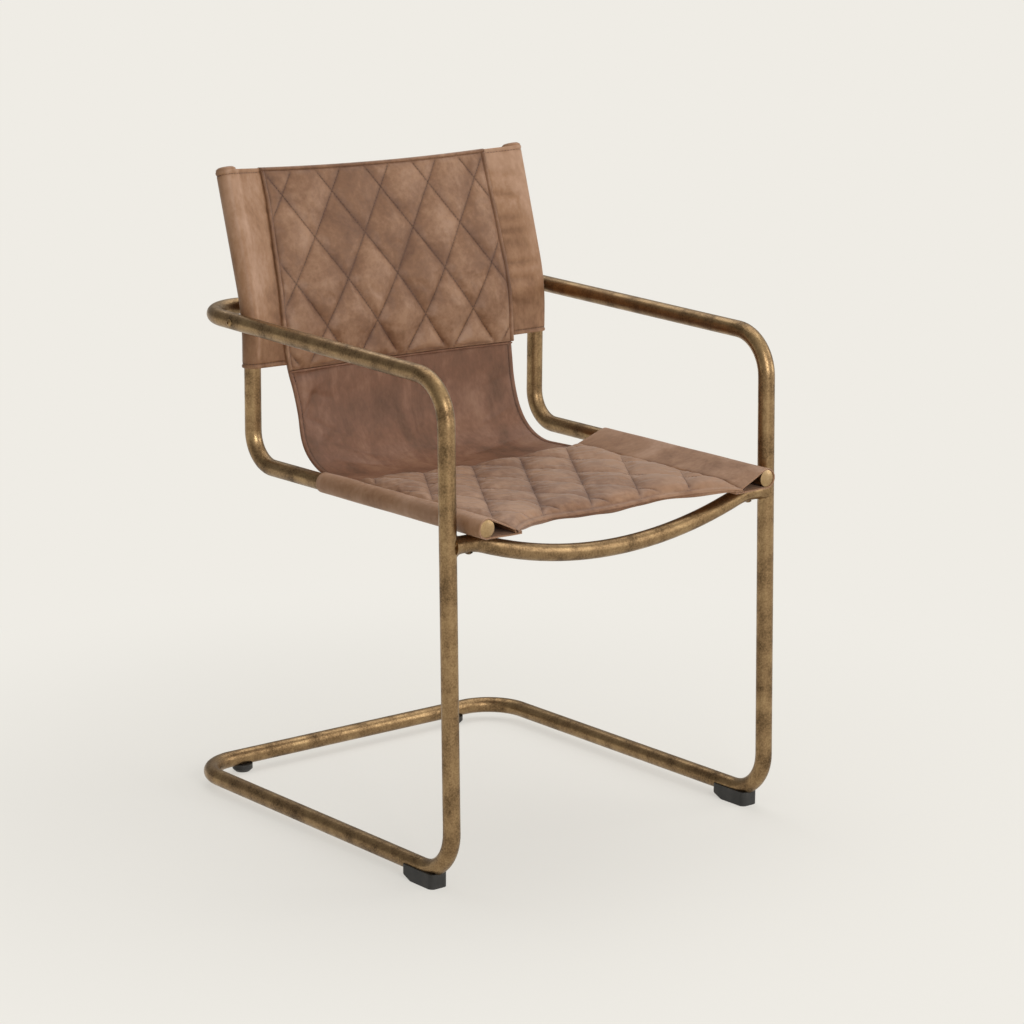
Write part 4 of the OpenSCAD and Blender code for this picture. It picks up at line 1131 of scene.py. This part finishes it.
def quilt_lines(phase, low, high, reach, height, sign=1):
    """The lines of quilting of one panel, cut at its borders and laid on its surface. low, high and height are
    functions of the place, and a sign of -1 turns the stitches to the rear."""
    runs = []
    for side in (-1, 1):
        for k in range(-9, 10):
            # Each line runs well past both borders of its panel before it is cut
            s = np.arange(-30, 420, 1.0) + phase - (330 if phase > 400 else 110)
            x = DIAMOND_W * (k - side * (s - phase) / DIAMOND_L)
            inside = (np.abs(x) < reach) & (s > low(x)) & (s < high(x))
            if inside.sum() > 8:
                at, out = sling_line(x[inside], s[inside], height(x[inside], s[inside]))
                runs.append((at, out * sign))
    return runs


def seat_quilting(gap, reach, height, sign=1):
    return quilt_lines(SEAT_PHASE, lambda x: front_edge(x) + gap, lambda x: SEAT_END_S - 8, reach, height, sign)


def back_quilting(reach, height, sign=1):
    return quilt_lines(BACK_PHASE, lambda x: BACK_START_S + 4, lambda x: top_edge(x) - 6, reach, height, sign)


def edge_lines():
    """The stitching along the edges of the two panels and of the plain leather between them."""
    runs = []
    back = np.arange(BACK_START_S + 3, SLING_L - 5, 2.0)
    plain = np.arange(SEAT_END_S + 4, BACK_START_S - 4, 2.0)
    wide = np.arange(-180, 180.1, 2.0)
    for side in (-1, 1):
        runs.append(sling_line(side * (BACK_VALLEY_X - 0.1), back, 5.8))
        runs.append(sling_line(side * PLAIN_VALLEY_X, plain, 2.1))
    runs.append(sling_line(wide, top_edge(wide) - 4.6, 6.0))
    runs.append(sling_line(wide, front_edge(wide) + 3.4, 4.65 * (1 - 0.5 * pinched(wide, 3.4))))
    runs.append(sling_line(wide, SEAT_END_S - 9, QUILT_TOP + 0.05))
    return runs


def sleeve_lines():
    """The stitching round the hems of the back sleeves, and along the lips of all four."""
    runs = []
    for side in (-1, 1):
        for place in (HEM_STITCH, BACK_SLEEVE_L - HEM_STITCH):
            centre, inboard, forward = post_frames(side, [place])[0]
            seam, level = (float(value) for value in post_seam(side, place))
            middle = sleeve_section(seam, level, level - BACK_STEP, BACK_LIP)
            path = offset_section(middle, 0.55)[9:50]
            out = offset_section(middle, 1.75)[9:50] - path
            runs.append((centre + path[:, :1] * inboard + path[:, 1:] * forward,
                         out[:, :1] * inboard + out[:, 1:] * forward))
        # The lips of the sleeves are sewn through under the edge of the sling, with the stitches just under them
        below = LIP_GAP + 1.05
        places = np.arange(12, BACK_SLEEVE_L - 12, 3.0)
        seams, levels = post_seam(side, places)
        frames = post_frames(side, places)
        line = [c + w * i + v * f for w, v, (c, i, f) in zip(seams + 6, levels - BACK_STEP - below, frames)]
        runs.append((np.array(line), np.array([-f for _, _, f in frames])))
        frames = rail_frames(side, np.arange(6, SEAT_SLEEVE_L - 6, 3.0))
        line = [c + (abs(c[0]) - HALF_W + 4.0) * i + (RAIL_LIP - below) * u for c, i, u in frames]
        runs.append((np.array(line), np.array([-u for _, _, u in frames])))
    return runs


def make_stitching():
    """All the stitches, one piece for each kind of seam."""
    puff = bpy.context.scene.armchair_leather.seat_puff

    def on_seat(x, s):
        face, free = seat_face(x, s)
        return face + 0.05 + puff * free * cells(x, s, SEAT_PHASE, SEAT_WEAK)

    def on_back(x, s):
        return QUILT_TOP + 0.05

    def below(x, s):
        return 0

    stitches("seat_quilting", seat_quilting(5, 183, on_seat))
    stitches("back_quilting", back_quilting(180.5, on_back))
    stitches("rear_quilting", seat_quilting(16, 174, below, -1) + back_quilting(172, below, -1))
    stitches("edge_stitching", edge_lines())
    stitches("sleeve_stitching", sleeve_lines())


# Frame


# How far a fillet reaches along the stretcher, on its sides and above and below it
WELD_SIDE = 1.2
WELD_TOP = 8.0


def make_welds():
    """Fillets of braze between the stretcher and the legs, filed to a hollow curve."""
    lean = (LEG_TOP[0] - LEG_FOOT[0]) / (LEG_TOP[1] - LEG_FOOT[1])
    leg_y = LEG_FOOT[0] + (STRETCHER_Z - LEG_FOOT[1]) * lean
    rows, turns = 9, 64
    points = []
    for angle in (2 * math.pi * k / turns for k in range(turns)):
        # Just over the surface of the stretcher
        y, z = (TUBE_R + 0.06) * math.cos(angle), (TUBE_R + 0.06) * math.sin(angle)
        # Where the stretcher's surface meets the leg's
        meet_x = -math.sqrt(max(0.0, TUBE_R ** 2 - min(abs(y), TUBE_R) ** 2))
        size = WELD_SIDE + (WELD_TOP - WELD_SIDE) * abs(math.sin(angle)) ** 1.5
        on_tube = np.array([meet_x - size, y, z])
        # Up or down the leg, on its surface
        beside = math.copysign(min(abs(y), 10.2), y)
        on_leg = np.array([-math.sqrt(TUBE_R ** 2 - beside ** 2) + 0.25, beside, z * (1 + size / TUBE_R)])
        corner = np.array([meet_x - 0.3, y, z])
        for f in (j / (rows - 1) for j in range(rows)):
            points.append((1 - f) ** 2 * on_tube + 2 * f * (1 - f) * corner + f ** 2 * on_leg)
        # An inner ring under the surface closes the fillet
        points.append(np.array([meet_x + 1.5, y * 0.86, z * 0.86]))
    per = rows + 1
    faces = [(k * per + j, ((k + 1) % turns) * per + j, ((k + 1) % turns) * per + (j + 1) % per,
              k * per + (j + 1) % per) for k in range(turns) for j in range(per)]
    for side, label in ((-1, "left"), (1, "right")):
        placed = [(side * (SIDE_X + x), leg_y + y + z * lean, STRETCHER_Z + z) for x, y, z in points]
        piece = mesh_piece(f"{label}_braze_fillet", placed, faces)
        smooth(piece, 60)
        dress(piece, tube_brass())


def tube_brass():
    look = bpy.context.scene.armchair_frame
    return antique_brass("antique_brass_tube", look_hex(look.patina_dark), look_hex(look.brass_middle),
                         look_hex(look.brass_light))


def button_brass():
    look = bpy.context.scene.armchair_frame
    return antique_brass("worn_brass_button", look_hex(look.brass_middle), look_hex(look.brass_light),
                         look_hex(look.brass_worn))


NODE_FINISHES = {
    tube_brass: ("left_side_tube", "right_side_tube", "front_stretcher", "left_seat_back_tube",
                 "right_seat_back_tube", "rail_bolts"),
    button_brass: ("left_rail_plug", "right_rail_plug", "arm_bolts"),
    moulded_plastic: ("left_front_foot", "right_front_foot", "left_rear_glide", "right_rear_glide",
                      "left_post_plug", "right_post_plug"),
    zinc_steel: ("foot_screws", "rivet_nuts", "base_joint_spigot", "arm_joint_spigot"),
    needled_felt: ("seat_wadding", "back_wadding"),
    sleeve_leather: ("left_seat_sleeve", "right_seat_sleeve", "left_back_sleeve", "right_back_sleeve",
                     "left_post_cap", "right_post_cap", "back_piping"),
    quilt_leather: ("quilted_seat", "quilted_back"),
    plain_leather: ("sling_body",),
}


def finish_nodes():
    """Gives every node of the part its material."""
    for finish, names in NODE_FINISHES.items():
        for name in names:
            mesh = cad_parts[name].data
            if not mesh.materials:
                mesh.materials.append(finish())
            for k in range(len(mesh.materials)):
                mesh.materials[k] = finish()


# Stage


# The camera that was fitted to the photograph: focal length and sensor in mm, angles in radians, place in metres
CAMERA_LENS = 110.56
CAMERA_SENSOR = 36.0
CAMERA_TURN, CAMERA_RISE, CAMERA_ROLL = -0.6881, 0.2284, 0.0084
CAMERA_PLACE = (-2.5473, -3.1637, 1.3403)


def seen_rays(tree):
    """1 where the camera looks, straight, in a reflection or through something clear, and 0 for the light there.
    The first output is 1 only where it looks straight."""
    path = add_node(tree, "LightPath").outputs
    seen = path["Is Camera Ray"]
    for ray in ("Is Glossy Ray", "Is Transmission Ray"):
        seen = calc(tree, "MAXIMUM", seen, path[ray])
    return path["Is Camera Ray"], seen


def make_room(pale, strength):
    """Even light of the given strength. The camera sees the plain background colour in its place."""
    world = bpy.data.worlds.new("studio")
    bpy.context.scene.world = world
    tree = empty_tree(world)
    straight, seen = seen_rays(tree)
    # In a reflection the pale room is dimmer away from the front of the chair, as black flags make it
    toward = add_node(tree, "TexCoord").outputs["Generated"]
    facing = add_node(tree, "VectorMath", {0: toward, 1: (0.4, -0.9, 0.16)}, operation="DOT_PRODUCT")
    share = add_node(tree, "MapRange", {"Value": facing.outputs["Value"], "From Min": -0.6, "From Max": 0.9,
                                        "To Min": 0.36, "To Max": 1.0}, interpolation_type="SMOOTHSTEP")
    flagged = calc(tree, "MAXIMUM", share.outputs["Result"], straight)
    shown = add_node(tree, "Background", {"Color": pale, "Strength": flagged})
    soft = add_node(tree, "Background", {"Color": (1, 1, 1, 1), "Strength": strength})
    both = add_node(tree, "MixShader", {0: seen, 1: soft.outputs[0], 2: shown.outputs[0]})
    add_node(tree, "OutputWorld", {"Surface": both.outputs[0]})


def make_floor(pale, paint_colour):
    """Matt painted floor, lifted towards the plain background colour for the camera; further out only that is
    seen."""
    deselect_all()
    bpy.ops.mesh.primitive_circle_add(vertices=96, radius=30, fill_type="TRIFAN", location=(0, 0, 0))
    floor = bpy.context.active_object
    floor.name = "studio_floor"
    material = bpy.data.materials.new("painted_studio_floor")
    tree = empty_tree(material)
    where = add_node(tree, "TexCoord").outputs["Object"]
    distance = add_node(tree, "VectorMath", {0: where}, operation="LENGTH").outputs["Value"]
    far = add_node(tree, "MapRange", {"Value": distance, "From Min": 0.35, "From Max": 1.15, "To Min": 0.6},
                   interpolation_type="SMOOTHSTEP")
    share = calc(tree, "MULTIPLY", far.outputs["Result"], seen_rays(tree)[1])
    paint = add_node(tree, "BsdfDiffuse", {"Color": paint_colour})
    plain = add_node(tree, "Emission", {"Color": pale, "Strength": 1.0})
    both = add_node(tree, "MixShader", {0: share, 1: paint.outputs[0], 2: plain.outputs[0]})
    add_node(tree, "OutputMaterial", {"Surface": both.outputs[0]})
    floor.data.materials.append(material)


def area_light(name, place, target, size, power):
    lamp = bpy.data.lights.new(name, "AREA")
    lamp.shape = "RECTANGLE"
    lamp.size, lamp.size_y = size
    lamp.energy = power
    lit = add_object(name, lamp)
    lit.location = place
    lit.rotation_euler = (Vector(target) - Vector(place)).to_track_quat("-Z", "Y").to_euler()


def make_camera():
    """The camera that sees the chair as the photograph does."""
    camera = bpy.data.cameras.new("photo_camera")
    camera.lens = CAMERA_LENS
    camera.sensor_width = CAMERA_SENSOR
    camera.sensor_fit = "HORIZONTAL"
    camera.dof.use_dof = False
    shot = add_object("photo_camera", camera)
    back = np.array([math.sin(CAMERA_TURN) * math.cos(CAMERA_RISE), -math.cos(CAMERA_TURN) * math.cos(CAMERA_RISE),
                     math.sin(CAMERA_RISE)])
    level = np.array([math.cos(CAMERA_TURN), math.sin(CAMERA_TURN), 0.0])
    over = np.cross(back, level)
    right = math.cos(CAMERA_ROLL) * level + math.sin(CAMERA_ROLL) * over
    up = math.cos(CAMERA_ROLL) * over - math.sin(CAMERA_ROLL) * level
    pose = Matrix((right, up, back)).transposed().to_4x4()
    pose.translation = CAMERA_PLACE
    shot.matrix_world = pose
    bpy.context.scene.camera = shot
    bpy.context.scene.view_settings.view_transform = "Standard"


def make_stage():
    """The room, the floor, three softboxes and the camera."""
    look = bpy.context.scene.armchair_stage
    pale = (*srgb(look_hex(look.background)), 1)
    make_room(pale, look.room_light)
    make_floor(pale, (*srgb(look_hex(look.floor)), 1))
    area_light("key_softbox", (-0.7, -3.0, 1.6), (0, 0, 0.5), (1.5, 1.5), look.key_power)
    area_light("fill_softbox", (2.5, -1.8, 1.5), (0, 0, 0.5), (1.6, 2.0), look.fill_power)
    area_light("top_softbox", (0.7, 0.7, 2.7), (0, 0, 0.4), (2.8, 2.8), look.top_power)
    make_camera()


# Add-on


def colour_property(name, description, code):
    return FloatVectorProperty(name=name, description=description, default=hex_numbers(code), subtype="COLOR_GAMMA",
                               min=0.0, max=1.0, size=3)


def rise_property(name, where, default):
    return FloatProperty(name=name, description=f"Greatest rise of the quilted cells of the {where}, in mm",
                         default=default, min=0.5, max=9.0)


def power_property(name, where, default):
    return FloatProperty(name=name, description=f"Power of the softbox {where}", default=default, min=0.0,
                         subtype="POWER", unit="POWER")


class FrameSettings(bpy.types.PropertyGroup):
    patina_dark: colour_property("Patina", "Colour of the dark patina on the tube", "#56442f")
    brass_middle: colour_property("Brass", "Main colour of the aged brass", "#8a7050")
    brass_light: colour_property("Rubbed brass", "Colour of the brass where the patina is thin", "#ab8f68")
    brass_worn: colour_property("Worn brass", "Colour of bolts and plugs where they are worn bright", "#b79d7c")


class LeatherSettings(bpy.types.PropertyGroup):
    quilt_dark: colour_property("Quilt, dark", "Darkest colour of the quilted leather", "#6a4a36")
    quilt_middle: colour_property("Quilt", "Main colour of the quilted leather", "#835f45")
    quilt_light: colour_property("Quilt, light", "Colour of the rubbed crowns of the quilting", "#a07b5f")
    plain_dark: colour_property("Sling, dark", "Darkest colour of the plain sling", "#5c402d")
    plain_middle: colour_property("Sling", "Main colour of the plain sling", "#7a543e")
    plain_light: colour_property("Sling, light", "Lightest colour of the plain sling", "#946e55")
    sleeve_dark: colour_property("Sleeve, dark", "Darkest colour of the sleeves", "#704c31")
    sleeve_middle: colour_property("Sleeve", "Main colour of the sleeves", "#9a7354")
    sleeve_light: colour_property("Sleeve, light", "Lightest colour of the sleeves", "#b69176")
    seat_puff: rise_property("Seat cells", "seat", 6.0)
    back_puff: rise_property("Back cells", "back", 5.0)
    fullness: FloatProperty(name="Fullness", description="Extra leather in each cell, as a share of its length",
                            default=0.02, min=0.0, max=0.1, subtype="FACTOR")
    stitch_pitch: FloatProperty(name="Stitch length", description="Distance from one stitch to the next",
                                default=0.0045, min=0.002, max=0.01, subtype="DISTANCE", unit="LENGTH")


class StageSettings(bpy.types.PropertyGroup):
    background: colour_property("Background", "Colour of the background", "#efece5")
    floor: colour_property("Floor", "Colour of the floor near the chair", "#efece4")
    room_light: FloatProperty(name="Room light", description="Strength of the even light of the room", default=0.34,
                              min=0.0, max=2.0)
    key_power: power_property("Key light", "beside the camera", 43.0)
    fill_power: power_property("Fill light", "to the right of the chair", 24.0)
    top_power: power_property("Top light", "above the chair", 36.0)


class ARMCHAIR_OT_finish_frame(bpy.types.Operator):
    """Give every tube, plug, bolt and foot of the frame its material"""
    bl_idname = "armchair.finish_frame"
    bl_label = "Finish the frame"

    def execute(self, context):
        finish_nodes()
        return {"FINISHED"}


class ARMCHAIR_OT_add_welds(bpy.types.Operator):
    """Add the brazed fillets between the stretcher and the legs"""
    bl_idname = "armchair.add_welds"
    bl_label = "Braze fillets"

    def execute(self, context):
        make_welds()
        return {"FINISHED"}


class ARMCHAIR_OT_add_sling(bpy.types.Operator):
    """Hang the leather sling"""
    bl_idname = "armchair.add_sling"
    bl_label = "Leather sling"

    def execute(self, context):
        make_sling()
        return {"FINISHED"}


class ARMCHAIR_OT_add_quilted_seat(bpy.types.Operator):
    """Quilt and fill the seat"""
    bl_idname = "armchair.add_quilted_seat"
    bl_label = "Quilted seat"

    def execute(self, context):
        make_quilted_seat()
        return {"FINISHED"}


class ARMCHAIR_OT_add_quilted_back(bpy.types.Operator):
    """Quilt and fill the back"""
    bl_idname = "armchair.add_quilted_back"
    bl_label = "Quilted back"

    def execute(self, context):
        make_quilted_back()
        return {"FINISHED"}


class ARMCHAIR_OT_add_piping(bpy.types.Operator):
    """Add the piping under the quilted back"""
    bl_idname = "armchair.add_piping"
    bl_label = "Piping"

    def execute(self, context):
        make_piping()
        return {"FINISHED"}


class ARMCHAIR_OT_add_seat_sleeves(bpy.types.Operator):
    """Sew the sleeves round the seat rails"""
    bl_idname = "armchair.add_seat_sleeves"
    bl_label = "Seat sleeves"

    def execute(self, context):
        make_seat_sleeves()
        return {"FINISHED"}


class ARMCHAIR_OT_add_back_sleeves(bpy.types.Operator):
    """Sew the sleeves round the back posts"""
    bl_idname = "armchair.add_back_sleeves"
    bl_label = "Back sleeves"

    def execute(self, context):
        make_back_sleeves()
        return {"FINISHED"}


class ARMCHAIR_OT_add_caps(bpy.types.Operator):
    """Cap the tops of the back posts"""
    bl_idname = "armchair.add_caps"
    bl_label = "Post caps"

    def execute(self, context):
        make_post_caps()
        return {"FINISHED"}


class ARMCHAIR_OT_add_stitching(bpy.types.Operator):
    """Sew the lines of stitching"""
    bl_idname = "armchair.add_stitching"
    bl_label = "Stitching"

    def execute(self, context):
        make_stitching()
        return {"FINISHED"}


class ARMCHAIR_OT_set_stage(bpy.types.Operator):
    """Set the floor, the lights and the camera"""
    bl_idname = "armchair.set_stage"
    bl_label = "Studio"

    def execute(self, context):
        make_stage()
        return {"FINISHED"}


OPERATORS = (ARMCHAIR_OT_finish_frame, ARMCHAIR_OT_add_welds, ARMCHAIR_OT_add_sling, ARMCHAIR_OT_add_quilted_seat,
             ARMCHAIR_OT_add_quilted_back, ARMCHAIR_OT_add_piping, ARMCHAIR_OT_add_seat_sleeves,
             ARMCHAIR_OT_add_back_sleeves, ARMCHAIR_OT_add_caps, ARMCHAIR_OT_add_stitching, ARMCHAIR_OT_set_stage)


class ARMCHAIR_PT_panel(bpy.types.Panel):
    """The steps of the build and their settings"""
    bl_label = "Armchair"
    bl_space_type = "VIEW_3D"
    bl_region_type = "UI"
    bl_category = "Armchair"

    def draw(self, context):
        for settings in (context.scene.armchair_frame, context.scene.armchair_leather, context.scene.armchair_stage):
            box = self.layout.box()
            for key in settings.__annotations__:
                box.prop(settings, key)
        for operator in OPERATORS:
            self.layout.operator(operator.bl_idname)


CLASSES = (FrameSettings, LeatherSettings, StageSettings, *OPERATORS, ARMCHAIR_PT_panel)


def register():
    for cls in CLASSES:
        bpy.utils.register_class(cls)
    bpy.types.Scene.armchair_frame = PointerProperty(type=FrameSettings)
    bpy.types.Scene.armchair_leather = PointerProperty(type=LeatherSettings)
    bpy.types.Scene.armchair_stage = PointerProperty(type=StageSettings)


def unregister():
    del bpy.types.Scene.armchair_stage
    del bpy.types.Scene.armchair_leather
    del bpy.types.Scene.armchair_frame
    for cls in reversed(CLASSES):
        bpy.utils.unregister_class(cls)


def main():
    register()
    bpy.ops.armchair.finish_frame()
    bpy.ops.armchair.add_welds()
    bpy.ops.armchair.add_sling()
    bpy.ops.armchair.add_quilted_seat()
    bpy.ops.armchair.add_quilted_back()
    bpy.ops.armchair.add_piping()
    bpy.ops.armchair.add_seat_sleeves()
    bpy.ops.armchair.add_back_sleeves()
    bpy.ops.armchair.add_caps()
    bpy.ops.armchair.add_stitching()
    bpy.ops.armchair.set_stage()


if __name__ == "__main__":
    main()
